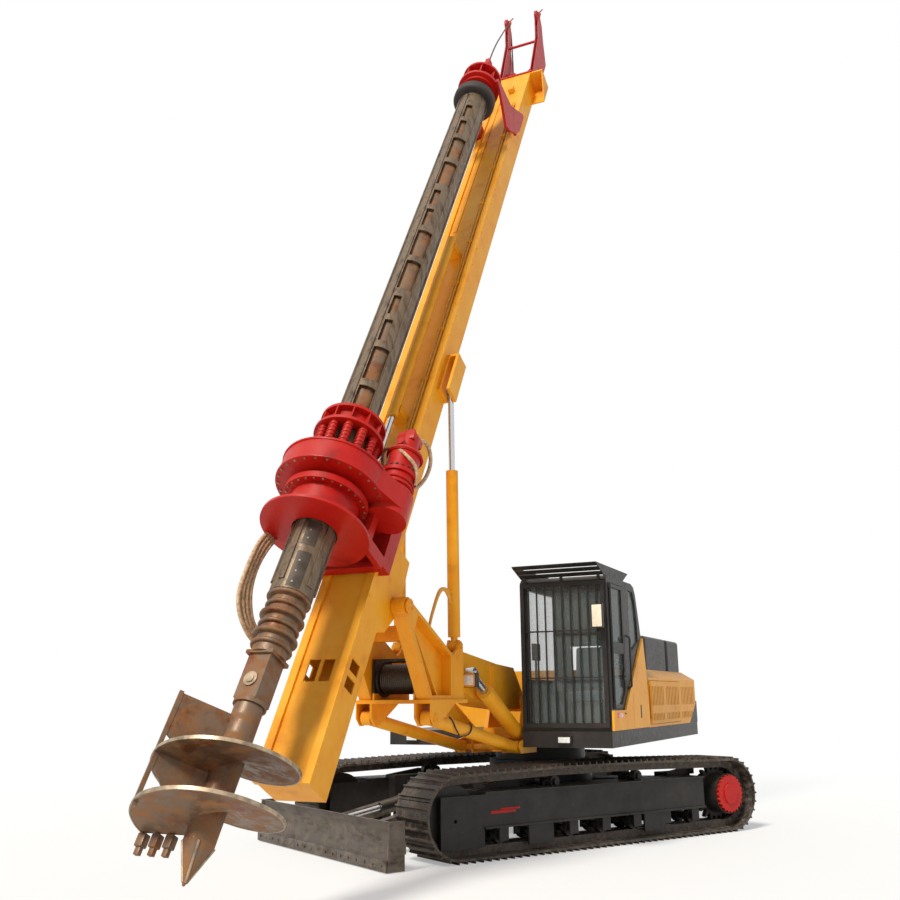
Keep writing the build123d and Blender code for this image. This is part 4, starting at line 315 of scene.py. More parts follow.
def worked_steel(name, bare, rust, earth, metal=0.75, rough=0.42, along=(16.0, 16.0, 0.9), earth_share=0.6,
                 clods=55, depth=0.35):
    """Bare steel with drawn out wear, rust and dried earth."""
    made, tree, where = surface(name)
    stretch = add(tree, "ShaderNodeMapping", {"Scale": along}, {"Vector": where})
    wear = add(tree, "ShaderNodeTexNoise", {"Scale": 1.0, "Detail": 7.0, "Roughness": 0.68},
               {"Vector": stretch.outputs[0]})
    colour = ramp(tree, wear.outputs["Fac"],
                  ((0.36, linear(rust)), (0.52, linear(bare)), (0.70, linear(bare))))
    grit = add(tree, "ShaderNodeTexNoise", {"Scale": per_metre(clods), "Detail": 9.0, "Roughness": 0.72},
               {"Vector": where})
    cover = ramp(tree, grit.outputs["Fac"], ((0.46, grey(0.0)), (0.62, grey(earth_share))))
    colour = over(tree, cover, colour, linear(earth))
    shine = add(tree, "ShaderNodeMapRange",
                {"From Min": 0.0, "From Max": 0.6, "To Min": metal, "To Max": 0.05}, {"Value": cover})
    matt_by = add(tree, "ShaderNodeMapRange",
                  {"From Min": 0.0, "From Max": 0.6, "To Min": rough, "To Max": 0.85}, {"Value": cover})
    bump = add(tree, "ShaderNodeBump", {"Strength": depth, "Distance": 0.006},
               {"Height": grit.outputs["Fac"]})
    skin = add(tree, "ShaderNodeBsdfPrincipled", None,
               {"Base Color": colour, "Metallic": shine.outputs[0], "Roughness": matt_by.outputs[0],
                "Normal": bump.outputs[0]})
    add(tree, "ShaderNodeOutputMaterial", links={"Surface": skin.outputs[0]})
    return made


kelly_steel = worked_steel("rubbed_kelly_steel", "#75634f", "#463629", "#6e543a", metal=0.55, rough=0.38,
                           earth_share=0.4, clods=160)
auger_steel = worked_steel("earthy_auger_steel", "#77604b", "#6f3d1a", "#96602f", metal=0.45, rough=0.45,
                           along=(5.0, 5.0, 5.0), clods=140, earth_share=0.75)
track_steel = worked_steel("dusty_track_steel", "#4a433d", "#3a2f26", "#75675a", metal=0.55, rough=0.5,
                           along=(9.0, 9.0, 9.0), clods=60, earth_share=0.7)
blade_steel = worked_steel("scoured_blade_steel", "#5f574f", "#473b31", "#7b6e60", metal=0.6, rough=0.45,
                           along=(3.0, 3.0, 12.0), clods=110, earth_share=0.6)
chrome = worked_steel("hard_chrome", "#c9ccd0", "#b5b7ba", "#a8a49c", metal=1.0, rough=0.14, earth_share=0.12,
                      clods=30, depth=0.02)
print("steels", [m.name for m in (kelly_steel, auger_steel, track_steel, blade_steel, chrome)])

# %% [markdown]
# ## Glass, rubber, cloth and small finishes
# The cab has tinted safety glass. Hoses are black rubber, most of them under pale dust or yellow paint. The
# seat has woven cloth with a thread spacing drawn coarser than real, so that it shows at this distance.

# %% Small finishes


def plain(name, code, rough, metal=0.0, grain=8.0, depth=0.1, alpha=1.0, coat=0.0, spread=0.12):
    """Even material with a fine grain in colour, gloss and relief."""
    made, tree, where = surface(name)
    grainy = add(tree, "ShaderNodeTexNoise", {"Scale": per_metre(grain), "Detail": 4.0}, {"Vector": where})
    base = linear(code)
    darker = tuple(c * (1 - spread) for c in base[:3]) + (1.0,)
    lighter = tuple(min(1.0, c * (1 + spread)) for c in base[:3]) + (1.0,)
    colour = ramp(tree, grainy.outputs["Fac"], ((0.35, darker), (0.65, lighter)))
    matt_by = add(tree, "ShaderNodeMapRange",
                  {"From Min": 0.3, "From Max": 0.7, "To Min": rough, "To Max": rough + 0.08},
                  {"Value": grainy.outputs["Fac"]})
    bump = add(tree, "ShaderNodeBump", {"Strength": depth, "Distance": 0.002},
               {"Height": grainy.outputs["Fac"]})
    skin = add(tree, "ShaderNodeBsdfPrincipled", {"Metallic": metal, "Alpha": alpha, "Coat Weight": coat},
               {"Base Color": colour, "Roughness": matt_by.outputs[0], "Normal": bump.outputs[0]})
    add(tree, "ShaderNodeOutputMaterial", links={"Surface": skin.outputs[0]})
    return made


def cloth(name, code, thread=14.0):
    """Woven seat cloth: two crossed bands of thread."""
    made, tree, where = surface(name)
    bands = []
    for side in ("X", "Z"):
        band = add(tree, "ShaderNodeTexWave", {"Scale": per_metre(thread) / 6.28, "Distortion": 0.6},
                   {"Vector": where}, wave_type="BANDS", bands_direction=side)
        bands.append(band.outputs["Fac"])
    weave = add(tree, "ShaderNodeMath", links={0: bands[0], 1: bands[1]}, operation="MULTIPLY")
    base = linear(code)
    darker = tuple(c * 0.6 for c in base[:3]) + (1.0,)
    colour = ramp(tree, weave.outputs[0], ((0.1, darker), (0.7, base)))
    bump = add(tree, "ShaderNodeBump", {"Strength": 0.4, "Distance": 0.002}, {"Height": weave.outputs[0]})
    skin = add(tree, "ShaderNodeBsdfPrincipled", {"Roughness": 0.9, "Sheen Weight": 0.3},
               {"Base Color": colour, "Normal": bump.outputs[0]})
    add(tree, "ShaderNodeOutputMaterial", links={"Surface": skin.outputs[0]})
    return made


glass = plain("tinted_safety_glass", "#8d9a98", 0.03, alpha=0.20, grain=900, depth=0.0, coat=1.0)
rubber = plain("black_hose_rubber", "#1b1a1a", 0.48, grain=6.0, depth=0.15)
plastic = plain("moulded_black_plastic", "#232426", 0.5, grain=3.0, depth=0.2)
seat_cloth = cloth("woven_seat_cloth", "#4a6268")
lens = plain("clear_lamp_lens", "#e8e9e4", 0.08, grain=20, depth=0.25, coat=0.8)
reflector = plain("orange_reflector", "#e2521b", 0.2, grain=9.0, depth=0.5, coat=0.6)
bolt_zinc = plain("zinc_plated_bolt", "#8f887c", 0.35, metal=0.9, grain=12, depth=0.1)
wire = plain("greased_wire_rope", "#4b443b", 0.42, metal=0.8, grain=10, depth=0.6, spread=0.45)
engine_iron = plain("painted_engine_iron", "#3c3a38", 0.6, grain=40, depth=0.4)
buffer_rubber = plain("brown_buffer_rubber", "#2a211d", 0.62, grain=25, depth=0.4)
hose_yellow = plain("painted_yellow_hose", "#e3a02f", 0.5, grain=20, depth=0.3)
dusty_hose = plain("dusty_hose_rubber", "#c4a17c", 0.75, grain=25, depth=0.4, spread=0.3)
worn_rim = plain("bright_worn_steel_rim", "#a08d75", 0.38, metal=0.7, grain=70, depth=0.3, spread=0.35)
# dark steel for the motor flange bolts, and for the painted shade plates behind the louvres
dark_steel_and_painted_shade = plain("dark_steel_and_painted_shade_sheet", "#332b25", 0.5, metal=0.4, grain=40, depth=0.3, spread=0.3)
# dark steel of the kelly's panels: painted shade in the recesses
recess_painted_shade_steel = plain("painted_shade_recess_steel", "#4a4037", 0.5, metal=0.5, grain=90, depth=0.3, spread=0.3)
# pale cream for the mirror's back: a painted sunlit highlight
mirror_painted_highlight = plain("mirror_back_painted_sunlit_highlight", "#efe0c6", 0.25, grain=60, depth=0.05, spread=0.06)
console_grey = plain("moulded_grey_console", "#5c5f5f", 0.55, grain=3.0, depth=0.2)
print("materials so far", len(bpy.data.materials))

# %% [markdown]
# ## Finish of each CAD node
# Every node keeps its own shape and takes the material of what it is made of.

# %% Finish table
FINISH = {
    yellow: ("boom_bracket", "boom", "boom_cylinder_tubes", "lower_links", "mast_cylinder_tubes", "mast",
             "crowd_cylinder_tube", "cab_fairing"),
    house_yellow: ("engine_house", "side_door"),
    frame_yellow: ("support_frame",),
    red: ("rotary_head", "head_motors", "drive_sleeve", "kelly_guide", "mast_head", "head_sheave_left",
          "head_sheave_right", "drive_covers"),
    black: ("carbody", "track_frames", "sprockets", "deck", "counterweight", "cab_shell", "cab_door",
            "cab_guard", "hood_boxes", "winch_drum", "blade_cylinder_tube"),
    track_steel: ("track_left", "track_right"),
    kelly_steel: ("kelly_outer",),
    auger_steel: ("auger", "kelly_inner"),
    blade_steel: ("dozer_blade",),
    chrome: ("boom_cylinder_rods", "mast_cylinder_rods", "blade_cylinder_rod", "crowd_cylinder_rod"),
    glass: ("cab_glass", "cab_door_glass"),
    engine_iron: ("engine_block",),
    buffer_rubber: ("kelly_buffer",),
    seat_cloth: ("operator_seat",),
}
finished = 0
for paint, names in FINISH.items():
    for name in names:
        slots = frame["nodes"][name].data.materials
        slots.clear()
        slots.append(paint)
        finished += 1
print("finished", finished, "of", len(frame["nodes"]), "nodes")
assert finished == len(frame["nodes"])

# %% [markdown]
# ## Building blocks
# Small fittings start from a cube, a cone or a spun outline in a bmesh. Each is modelled in millimetres in
# one of the three frames and then set down there, so that its object stays at the origin.

# %% Shapes


def block(shape, low, high, edge=0.0, turn=Matrix.Identity(4), segments=2):
    """Box between two corners, turned about its middle, with rounded edges."""
    low, high = Vector(low), Vector(high)
    place = Matrix.Translation((low + high) / 2) @ turn @ Matrix.Diagonal((*(high - low), 1.0))
    corners = bmesh.ops.create_cube(shape, size=1.0, matrix=place)["verts"]
    if edge:
        edges = list({line for corner in corners for line in corner.link_edges})
        bmesh.ops.bevel(shape, geom=edges, offset=edge, offset_type="OFFSET", segments=segments, profile=0.5,
                        affect="EDGES", clamp_overlap=True, material=-1)


def rod(shape, start, end, radius, sides=20, tip=None):
    """Round bar or cone from start to end."""
    start, end = Vector(start), Vector(end)
    along = end - start
    place = Matrix.Translation((start + end) / 2) @ along.to_track_quat("Z", "Y").to_matrix().to_4x4()
    bmesh.ops.create_cone(shape, cap_ends=True, cap_tris=False, segments=sides, radius1=radius,
                          radius2=radius if tip is None else tip, depth=along.length, matrix=place)


def bolt(shape, where, out, size=22.0, height=13.0):
    """Hexagon head on a washer, standing out along out."""
    where, out = Vector(where), Vector(out).normalized()
    rod(shape, where - out, where + out * 3, size * 0.85, sides=12)
    rod(shape, where + out * 2, where + out * height, size * 0.577, sides=6)


def turned(shape, outline, centre=(0, 0, 0), axis=(0, 0, 1), start=(1, 0, 0), steps=40):
    """Closed outline of (radius, height) spun full circle about an axis."""
    axis, start, centre = Vector(axis).normalized(), Vector(start).normalized(), Vector(centre)
    points = [shape.verts.new(centre + start * r + axis * h) for r, h in outline]
    lines = [shape.edges.new((points[i - 1], points[i])) for i in range(len(points))]
    bmesh.ops.spin(shape, geom=points + lines, cent=centre, axis=axis, dvec=(0, 0, 0), angle=2 * math.pi,
                   steps=steps, use_merge=True, use_duplicate=False)


def wound(shape, outline, centre, height, turns, axis=(0, 0, 1), start=(1, 0, 0), steps=14):
    """Closed outline of (radius, height) swept round and along the axis at once."""
    axis, start, centre = Vector(axis).normalized(), Vector(start).normalized(), Vector(centre)
    points = [shape.verts.new(centre + start * r + axis * h) for r, h in outline]
    lines = [shape.edges.new((points[i - 1], points[i])) for i in range(len(points))]
    shape.faces.new(points)
    count = round(turns * steps)
    made = bmesh.ops.spin(shape, geom=points + lines, cent=centre, axis=axis, dvec=axis * (height / count),
                          angle=2 * math.pi * turns, steps=count, use_merge=False, use_duplicate=False)
    ends = [item for item in made["geom_last"] if isinstance(item, bmesh.types.BMEdge)]
    bmesh.ops.holes_fill(shape, edges=ends, sides=0)


def around(count, shift=0.0):
    """Cosine and sine of count even steps round a circle; shift moves them by that part of a step."""
    angles = [2 * math.pi * (i + shift) / count for i in range(count)]
    return [(math.cos(a), math.sin(a)) for a in angles]


def circle(radius, middle, sides):
    """Round outline about (middle, 0)."""
    return [(middle + radius * c, radius * s) for c, s in around(sides)]


def coil(shape, centre, radius, wire_radius, height, turns, steps=14, sides=8, **way):
    """Coil spring or wound rope."""
    wound(shape, circle(wire_radius, radius, sides), centre, height, turns, steps=steps, **way)


def shell(shape, inner, outer, low, high, middle, half, steps=8):
    """Curved plate on a round bar about the frame's z axis, from middle - half to middle + half degrees."""
    a = math.radians(middle - half)
    wound(shape, [(inner, 0), (outer, 0), (outer, high - low), (inner, high - low)], (0, 0, low), 0.0,
          2 * half / 360, start=(math.cos(a), math.sin(a), 0), steps=steps * 360 / (2 * half))


def piece(name, shape, place, paint, body, sharp=38.0):
    """Sets a finished shape down in its frame as an object that rides on a body."""
    bmesh.ops.transform(shape, matrix=place @ Matrix.Scale(MM, 4), verts=shape.verts)
    bmesh.ops.recalc_face_normals(shape, faces=shape.faces)
    mesh = bpy.data.meshes.new(name)
    shape.to_mesh(mesh)
    shape.free()
    mesh.materials.append(paint)
    mesh.polygons.foreach_set("use_smooth", [True] * len(mesh.polygons))
    mesh.set_sharp_from_angle(angle=math.radians(sharp))
    made = bpy.data.objects.new(name, mesh)
    scene.collection.objects.link(made)
    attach(made, body)
    print(name, len(mesh.polygons), "faces")
    return made


def hose(name, points, diameter, place, paint, body):
    """Hose or rope along a smooth line through its route."""
    line = bpy.data.curves.new(name, "CURVE")
    line.dimensions = "3D"
    run = line.splines.new("NURBS")
    run.points.add(len(points) - 1)
    spots = [place @ (Vector(point) * MM) for point in points]
    for spot, target in zip(run.points, spots):
        spot.co = (*target, 1.0)
    run.order_u = 3
    run.use_endpoint_u = True
    line.resolution_u = 8
    line.materials.append(paint)
    made = bpy.data.objects.new(name, line)
    scene.collection.objects.link(made)
    bpy.context.view_layer.update()
    bare = bpy.data.meshes.new_from_object(made)
    bpy.data.meshes.remove(bare)
    line.bevel_depth = diameter * MM / 2
    line.bevel_resolution = 3
    line.use_fill_caps = True
    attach(made, body)


# %% [markdown]
# ## Springs of the rotary head
# Twelve coil springs stand in a ring under the head's top plate and soften the blow of the kelly bar. A coil
# spring is a round wire swept round and up at once, which is just what the spin operator does when it is
# given a step along its axis.

# %% Head springs
shape = bmesh.new()
SPRING_RING = 262
for c, s in around(12):
    coil(shape, (SPRING_RING * c, SPRING_RING * s, 684), 37, 9, 340, 8.0, steps=12, sides=6)
piece("head_springs", shape, MAST, red, "sleeve", sharp=60)

# %% Bolt rings of the head
shape = bmesh.new()
for radius, height, count in ((448, 640, 36), (300, 1060, 24), (285, 1230, 24), (452, 10, 30)):
    for c, s in around(count, 0.5):
        bolt(shape, (radius * c, radius * s, height), (0, 0, 1), size=19, height=12)
piece("sleeve_ring_bolts", shape, MAST, red, "sleeve")

# %% [markdown]
# ## Kelly bar, washers and guide
# Below the kelly tube sits a stack of thick rubbed washers. Their edges have rolled over round, so each gets
# a rounded bead made by spinning a half-round outline.

# %% Washer beads
WASHER_TOP, WASHER_STEP = -690, 88
WASHER_RADII = (172, 156)
BEAD = ((-24, -3), (1, -1), (9, -9), (11, -17), (9, -26), (1, -34), (-24, -32))
shape = bmesh.new()
for i in range(6):
    top = WASHER_TOP - WASHER_STEP * i
    radius = WASHER_RADII[i % 2]
    turned(shape, [(radius + out, top + up) for out, up in BEAD])
piece("kelly_washer_beads", shape, MAST, auger_steel, "kelly_inner", sharp=70)

# %% Bolts of the guide's plates
shape = bmesh.new()
for c, s in around(20, 0.5):
    bolt(shape, (252 * c, 252 * s, 7455), (0, 0, 1), size=19, height=11)
    bolt(shape, (240 * c, 240 * s, 7711), (0, 0, 1), size=17, height=10)
piece("guide_plate_bolts", shape, MAST, red, "kelly_guide")

# %% [markdown]
# ## Ropes
# The main hoist rope comes up behind the mast, turns over a sheave at its tip and ends in the swivel above
# the kelly bar. Only the length from the middle of the mast's back to the swivel is made here. It is 20 mm
# wire rope, kept taut by the weight it carries. The rope wound on the winch is a coil of its own.

# %% Hoist rope
route = [(0, 0, 8195), (60, -60, 8800), (180, -300, 9900), (226, -400, 10395), (242, -415, 10408),
         (242, -470, 10380), (230, -560, 10290), (150, -1010, 9200), (20, -1000, 7600), (0, -985, 6000)]
hose("hoist_rope", route, 20, MAST, wire, "mast")

# %% Rope wound on the winch
shape = bmesh.new()
coil(shape, (-166, 3740, 1790), 131, 10, 332, 16.0, axis=(1, 0, 0), start=(0, 0, 1), steps=24, sides=6)
piece("winch_rope", shape, HOUSE, wire, "winch", sharp=60)

# %% [markdown]
# ## Mast fittings
# Two hard oil lines run along the mast's face in clamps, and a row of bolts holds each rail.

# %% Oil lines and clamps
shape = bmesh.new()
for x in (-118, -150):
    rod(shape, (x, -652, 1500), (x, -652, 8200), 11, sides=12)
piece("mast_oil_lines", shape, MAST, hose_yellow, "mast")
shape = bmesh.new()
for z in range(1700, 8200, 800):
    block(shape, (-172, -671, z), (-96, -636, z + 34), edge=4)
    bolt(shape, (-134, -636, z + 17), (0, 1, 0), size=13, height=8)
piece("oil_line_clamps", shape, MAST, yellow, "mast")

# %% Rail bolts
shape = bmesh.new()
for s in (-1, 1):
    for z in range(-1750, 8900, 310):
        bolt(shape, (s * 262, -670, z), (s, 0, 0), size=15, height=8)
piece("rail_bolts", shape, MAST, yellow, "mast")

# %% [markdown]
# ## Cab details
# The operator's seat is a base with a padded cushion, back and head rest. Each pad starts as a bevelled
# block, is pushed out through its middle and is then smoothed by a subdivision surface. Levers, a monitor
# and pedals stand round it.

# %% Seat


def pad(name, low, high, lean=0.0, crown=26.0):
    """Crowned cushion: a bevelled block pushed out through its middle, then smoothed."""
    shape = bmesh.new()
    block(shape, low, high, edge=34, segments=3)
    bmesh.ops.subdivide_edges(shape, edges=shape.edges, cuts=2, use_grid_fill=True)
    middle = (Vector(low) + Vector(high)) / 2
    half = (Vector(high) - Vector(low)) / 2
    for v in shape.verts:
        x, z = (v.co.x - middle.x) / half.x, (v.co.z - middle.z) / half.z
        y = (v.co.y - middle.y) / half.y
        swell = max(0.0, 1 - x * x) * (max(0.0, 1 - z * z) if lean else max(0.0, 1 - y * y))
        v.co += (Vector((0, crown, 0)) if lean else Vector((0, 0, crown))) * swell
    if lean:
        turn = Matrix.Rotation(lean, 4, "X")
        bmesh.ops.rotate(shape, cent=(middle.x, middle.y, low[2]), matrix=turn, verts=shape.verts)
    made = piece(name, shape, HOUSE, seat_cloth, "superstructure", sharp=80)
    smooth = made.modifiers.new("soft", "SUBSURF")
    smooth.levels = smooth.render_levels = 1
    return made


seat_cushion = pad("seat_cushion", (-1145, 475, 1560), (-677, 945, 1672))
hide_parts("operator_seat")
pad("seat_back", (-1135, 480, 1700), (-687, 590, 2200), lean=math.radians(8))
pad("head_rest", (-1030, 405, 2215), (-792, 480, 2285), crown=8)

# %% Seat base, consoles and controls
SEAT_X = -911
CONSOLE_OUT, BRACKET_OUT = 300, 270
shape = bmesh.new()
block(shape, (-1080, 560, 1292), (-742, 860, 1550), edge=18)
for s in (-1, 1):
    x = SEAT_X + s * CONSOLE_OUT
    block(shape, (x - 58, 552, 1672), (x + 58, 1028, 1808), edge=16)
    x = SEAT_X + s * BRACKET_OUT
    block(shape, (x - 28, 652, 1572), (x + 28, 768, 1680), edge=6)
piece("seat_base_and_consoles", shape, HOUSE, console_grey, "superstructure")
LEVER_FOOT = [(0.5, 1800), (46, 1800), (40, 1822), (22, 1850), (0.5, 1856)]
shape = bmesh.new()
for s in (-1, 1):
    x = SEAT_X + s * CONSOLE_OUT
    rod(shape, (x, 990, 1800), (x, 1000, 1960), 9)
    rod(shape, (x, 1000, 1950), (x, 1008, 2042), 20, tip=26)
    turned(shape, LEVER_FOOT, centre=(x, 990, 0), steps=20)
for x in (-1010, -930, -850):
    rod(shape, (x, 1400, 1292), (x, 1330, 1700), 11)
    block(shape, (x - 32, 1400, 1300), (x + 32, 1500, 1316), edge=5, turn=Matrix.Rotation(0.4, 4, "X"))
block(shape, (-530, 1330, 2020), (-480, 1500, 2210), edge=10)
rod(shape, (-500, 1415, 1300), (-500, 1415, 2030), 14)
piece("cab_controls", shape, HOUSE, plastic, "superstructure")

# %% [markdown]
# ## Lamps, mirror and grab rail
# Each lens is a thin plate that stands a little proud of its housing. The work lamp sits in a square rim of
# four strips. The cab's grab rail is a bar on two bent feet.

# %% Lamps, mirror and reflector
MIRROR_X, WORK_LAMP_X = -1350, -392
shape = bmesh.new()
for x, front in ((-890, 1668), (1110, 1381)):
    block(shape, (x - 66, front, 1133), (x + 66, front + 6, 1192), edge=2)
piece("skirt_lamp_lenses", shape, HOUSE, lens, "superstructure")
shape = bmesh.new()
# the mirror's face is a pale cream plate, a painted sunlit highlight
block(shape, (MIRROR_X - 54, 1781, 2352), (MIRROR_X + 54, 1786, 2588), edge=2)
piece("mirror_face_painted_highlight", shape, HOUSE, mirror_painted_highlight, "superstructure")
shape = bmesh.new()
block(shape, (WORK_LAMP_X - 60, 3086, 1736), (WORK_LAMP_X + 60, 3091, 1832), edge=2)
piece("work_lamp_lens", shape, HOUSE, lens, "support_frame")
shape = bmesh.new()
for z in (1714, 1842):
    block(shape, (WORK_LAMP_X - 82, 3000, z), (WORK_LAMP_X + 82, 3084, z + 12), edge=3)
for x in (WORK_LAMP_X - 84, WORK_LAMP_X + 74):
    block(shape, (x, 3000, 1720), (x + 10, 3088, 1848), edge=3)
piece("work_lamp_housing", shape, HOUSE, plastic, "support_frame")
shape = bmesh.new()
block(shape, (-1449, 1270, 1390), (-1443, 1470, 1440), edge=1)
piece("side_reflector", shape, HOUSE, reflector, "superstructure")

# %% Cab grab rail
RAIL_Y = 900
corners = [(-1424, RAIL_Y, 1700), (-1464, RAIL_Y, 1730), (-1464, RAIL_Y, 2270), (-1424, RAIL_Y, 2300)]
shape = bmesh.new()
for start, end in zip(corners, corners[1:]):
    rod(shape, start, end, 12, sides=12)
block(shape, (-1432, 1010, 1790), (-1419, 1075, 1880), edge=5)
block(shape, (-1445, 1022, 1830), (-1430, 1062, 1846), edge=4)
piece("cab_grab_rail", shape, HOUSE, plastic, "superstructure")

# %% [markdown]
# ## Engine housing
# Behind the louvres the engine bay is dark: a dark plate a finger behind the slots is painted shade.

# %% Painted shade plates behind the louvres
for name, body, bays in (("door_louvre_painted_shade", "side_door", ((-98, -855), (-905, -1740))),
                         ("house_louvre_painted_shade", "superstructure", ((-1800, -2680),))):
    shape = bmesh.new()
    for front, rear in bays:
        # a dark plate that paints the shade of the engine bay behind the slots
        block(shape, (-1388, rear + 45, 1312), (-1384, front - 45, 1752))
    piece(name, shape, HOUSE, dark_steel_and_painted_shade, body)

# %% Side latches
shape = bmesh.new()
block(shape, (-1450, 1128, 1424), (-1443, 1176, 1440), edge=3)
block(shape, (-1447, 437, 1372), (-1436, 473, 1512), edge=6)
piece("side_latches", shape, HOUSE, plastic, "superstructure")

# %% [markdown]
# ## Rotary head details
# The gear housing is a ring with a rolled lip at each edge and a row of bolts below. A second row sits in the
# sleeve's flange and turns with it. Each motor has a dark bolt circle on its flange and a valve block on top.

# %% Lips and bolts of the gear housing
shape = bmesh.new()
for low in (416, 618):
    turned(shape, [(466, low), (485, low + 3), (487, low + 12), (485, low + 21), (466, low + 24)], steps=64)
piece("gear_housing_lips", shape, MAST, red, "head")
shape = bmesh.new()
for c, s in around(28):
    bolt(shape, (455 * c, 455 * s, 419), (0, 0, -1), size=15, height=9)
piece("gear_housing_bolts", shape, MAST, worn_rim, "head")
shape = bmesh.new()
for c, s in around(28):
    bolt(shape, (350 * c, 350 * s, 289), (0, 0, -1), size=13, height=8)
piece("sleeve_flange_bolts", shape, MAST, worn_rim, "sleeve")

# %% Motor details
MOTOR_X, MOTOR_Y = 400, -360
shape = bmesh.new()
black_bolts = bmesh.new()
for side in (-1, 1):
    x = side * MOTOR_X
    for low, radius in ((640, 178), (700, 166), (752, 162), (1088, 170)):
        flange = [(140, low), (radius, low), (radius + 5, low + 8), (radius, low + 18), (140, low + 18)]
        turned(shape, flange, centre=(x, MOTOR_Y, 0), steps=36)
    block(shape, (x - 88, -452, 1262), (x + 88, -268, 1352), edge=10)
    block(shape, (x - 60, -330, 1346), (x + 46, -290, 1400), edge=8)
    block(shape, (x + 20, -440, 1346), (x + 80, -380, 1388), edge=8)
    rod(shape, (x, -260, 1180), (x, -205, 1180), 38)
    rod(shape, (x - 50, -420, 1340), (x - 50, -420, 1374), 26, sides=8)
    for c, s in around(20):
        bolt(black_bolts, (x + 161 * c, MOTOR_Y + 161 * s, 874), (0, 0, 1), size=22, height=20)
piece("motor_flanges_and_blocks", shape, MAST, red, "head")
piece("motor_flange_bolts", black_bolts, MAST, dark_steel_and_painted_shade, "head")

# %% [markdown]
# ## Hoses of the head
# Two short hoses feed the left motor. Four long ones hang in a loop beside the kelly bar, so that the head
# can slide on the mast, each a little longer than the last. A curve with few points hangs smoothly.

# %% Head hoses
route = [(-450, -420, 1346), (-456, -460, 1420), (-470, -580, 1436), (-474, -681, 1345),
         (-474, -694, 1184), (-472, -621, 973), (-466, -520, 840), (-462, -488, 800)]
hose("head_hose_outer", route, 38, MAST, dusty_hose, "head")
route = [(-80, -560, 1062), (-96, -470, 1170), (-150, -335, 1228), (-300, -290, 1176), (-430, -215, 1060),
         (-520, -206, 977), (-582, -300, 930), (-584, -380, 862), (-556, -420, 800)]
hose("head_hose_front", route, 34, MAST, dusty_hose, "head")
HOSE_STEP = 34
for i in range(4):
    step = HOSE_STEP * i
    route = [(410 + step / 4, -330, 356), (420, -170 + step, 200), (424 + step / 3, -20 + step, -60),
             (428, 40 + step, -380), (426 + step / 3, -20 + step, -640 - step), (410, -200, -830 - step),
             (380, -420, -760 - step), (340, -560, -420), (300 + step / 4, -592, -60),
             (270 + step / 4, -590, 32)]
    hose(f"hanging_hose_{i + 1}", route, 36, MAST, dusty_hose, "head")

# %% [markdown]
# ## Auger and kelly details
# Turning in soil polishes the outer rim of the flights, so a thin bright strip runs along them. The tool is
# pinned in the square drive box, and its washers show on both faces. The kelly's lower end has recessed
# panels with a row of screws, and the panels are painted dark as painted shade in the recesses.

# %% Polished rim and teeth
FLIGHT_FOOT, FLIGHT_RISE, FLIGHT_TURNS = -2590, 700, 2.0
TOOTH_OUT, TOOTH_STEP = 483, 120.9
shape = bmesh.new()
wound(shape, [(508, -13), (519, -13), (519, 13), (508, 13)], (0, 0, FLIGHT_FOOT), FLIGHT_RISE, FLIGHT_TURNS,
      steps=72)
piece("flight_rim", shape, MAST, worn_rim, "kelly_inner")
shape = bmesh.new()
for i in range(3):
    x = TOOTH_OUT - TOOTH_STEP * i
    block(shape, (x - 34, -34, -2700), (x + 34, 30, -2606), edge=9)
    block(shape, (x - 22, -22, -2752), (x + 22, 16, -2690), edge=5)
piece("tooth_holders_and_teeth", shape, MAST, auger_steel, "kelly_inner")
shape = bmesh.new()
for a in (0.6, 2.2, 3.8, 5.4):
    foot = (112 * math.cos(a), 112 * math.sin(a), -2655)
    point = (14 * math.cos(a + 0.5), 14 * math.sin(a + 0.5), -2905)
    rod(shape, foot, point, 9)
piece("pilot_cutting_edges", shape, MAST, worn_rim, "kelly_inner")

# %% Drive pin washers
PIN_Z = -1462
shape = bmesh.new()
for side in (-1, 1):
    for near, far, radius, sides in ((96, 111, 58, 32), (105, 120, 34, 24), (118, 122, 12, 16)):
        rod(shape, (0, side * near, PIN_Z), (0, side * far, PIN_Z), radius, sides=sides)
piece("drive_pin_washers", shape, MAST, worn_rim, "kelly_inner")

# %% Painted shade in the kelly's recessed panels, and their screws
shape = bmesh.new()
screws = bmesh.new()
for side in range(3):
    for low, high, half in ((-672, -332, 19), (-262, -24, 19)):
        # each thin dark shell is painted shade for a recess in the kelly
        shell(shape, 176, 179.5, low, high, 120 * side + 125, half)
    for z in (-425, -528, -630, -120, -200):
        a = math.radians(120 * side + 119)
        out = Vector((math.cos(a), math.sin(a), 0))
        rod(screws, out * 178 + Vector((0, 0, z)), out * 183 + Vector((0, 0, z)), 9, sides=12)
piece("kelly_recess_painted_shade", shape, MAST, recess_painted_shade_steel, "kelly")
piece("kelly_panel_screws", screws, MAST, bolt_zinc, "kelly")

# %% [markdown]
# ## Pins, caps and hoses of the linkage
# Every pin ends in a cap held by bolts. Painted hoses climb to the mast's cylinders, and a loose black hose
# is looped round the lower link.

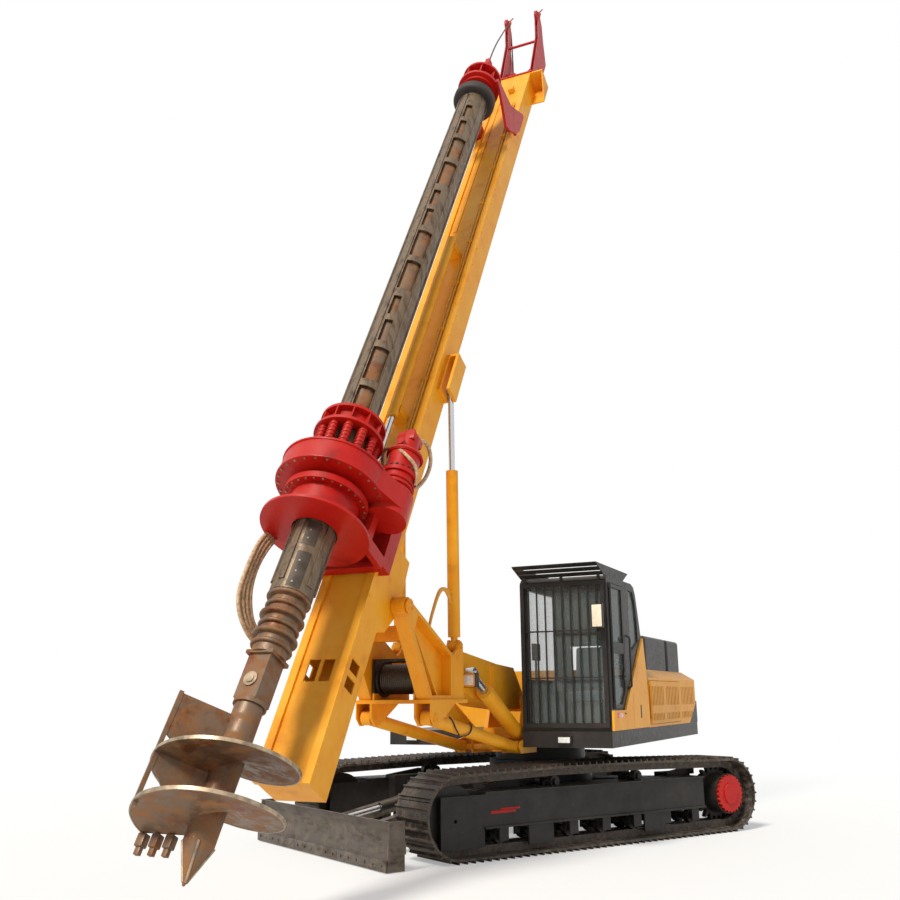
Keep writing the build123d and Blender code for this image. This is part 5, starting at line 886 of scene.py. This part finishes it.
# %% Pin caps
shape = bmesh.new()
for s in (-1, 1):
    for y, z, radius, x in ((4345, 2417, 66, 388), (3215, 2110, 42, 370), (3830, 1435, 44, 394)):
        rod(shape, (s * (x - 4), y, z), (s * (x + 10), y, z), radius, sides=32)
        for across, up in around(4, 0.5):
            seat = (s * (x + 9), y + radius * 0.6 * across, z + radius * 0.6 * up)
            bolt(shape, seat, (s, 0, 0), size=16, height=9)
piece("linkage_pin_caps", shape, HOUSE, frame_yellow, "support_frame")

# %% Painted hoses of the mast cylinders
PAINTED_STEP = 26
for i in range(3):
    shift = PAINTED_STEP * i
    route = [(-300, 3270, 2520 + shift * 2), (-300, 3340, 2610 + shift), (-298, 3440 + shift, 2665),
             (-292 - i * 8, 3540 + shift, 2600), (-285 - i * 10, 3640 + shift, 2440),
             (-280 - i * 12, 3710 + shift, 2310), (-275 - i * 12, 3740 + shift, 2210)]
    hose(f"painted_hose_{i + 1}", route, 26, HOUSE, hose_yellow, "support_frame")

# %% Loop round the lower link
route = [(-340, 3420, 1438), (-384, 3430, 1400), (-392, 3380, 1320), (-372, 3260, 1262), (-330, 3180, 1246),
         (-378, 3080, 1256), (-392, 3010, 1300), (-366, 2960, 1362), (-330, 2930, 1368)]
hose("looped_link_hose", route, 15, HOUSE, rubber, "links")

# %% [markdown]
# ## Track frame
# Plain red stripes mark the track frame's side.

# %% Red stripes
shape = bmesh.new()
block(shape, (-1389, 1500, 446), (-1385, 1830, 474), edge=1)
block(shape, (-1389, 1440, 478), (-1385, 1700, 496), edge=1)
piece("track_frame_stripes", shape, GROUND, red, "undercarriage")

# %% [markdown]
# ## Dozer blade
# The cutting edge is bolted on in three lengths, and plough bolts show across the mouldboard's foot.

# %% Cutting edge
shape = bmesh.new()
for a, b in ((-1468, -492), (-488, 488), (492, 1468)):
    block(shape, (a, 3128, 12), (b, 3142, 118), edge=3)
    for i in range(6):
        x = a + (b - a) * (i + 0.5) / 6
        bolt(shape, (x, 3141, 66), (0, 1, 0), size=22, height=10)
piece("blade_cutting_edge", shape, GROUND, blade_steel, "blade")
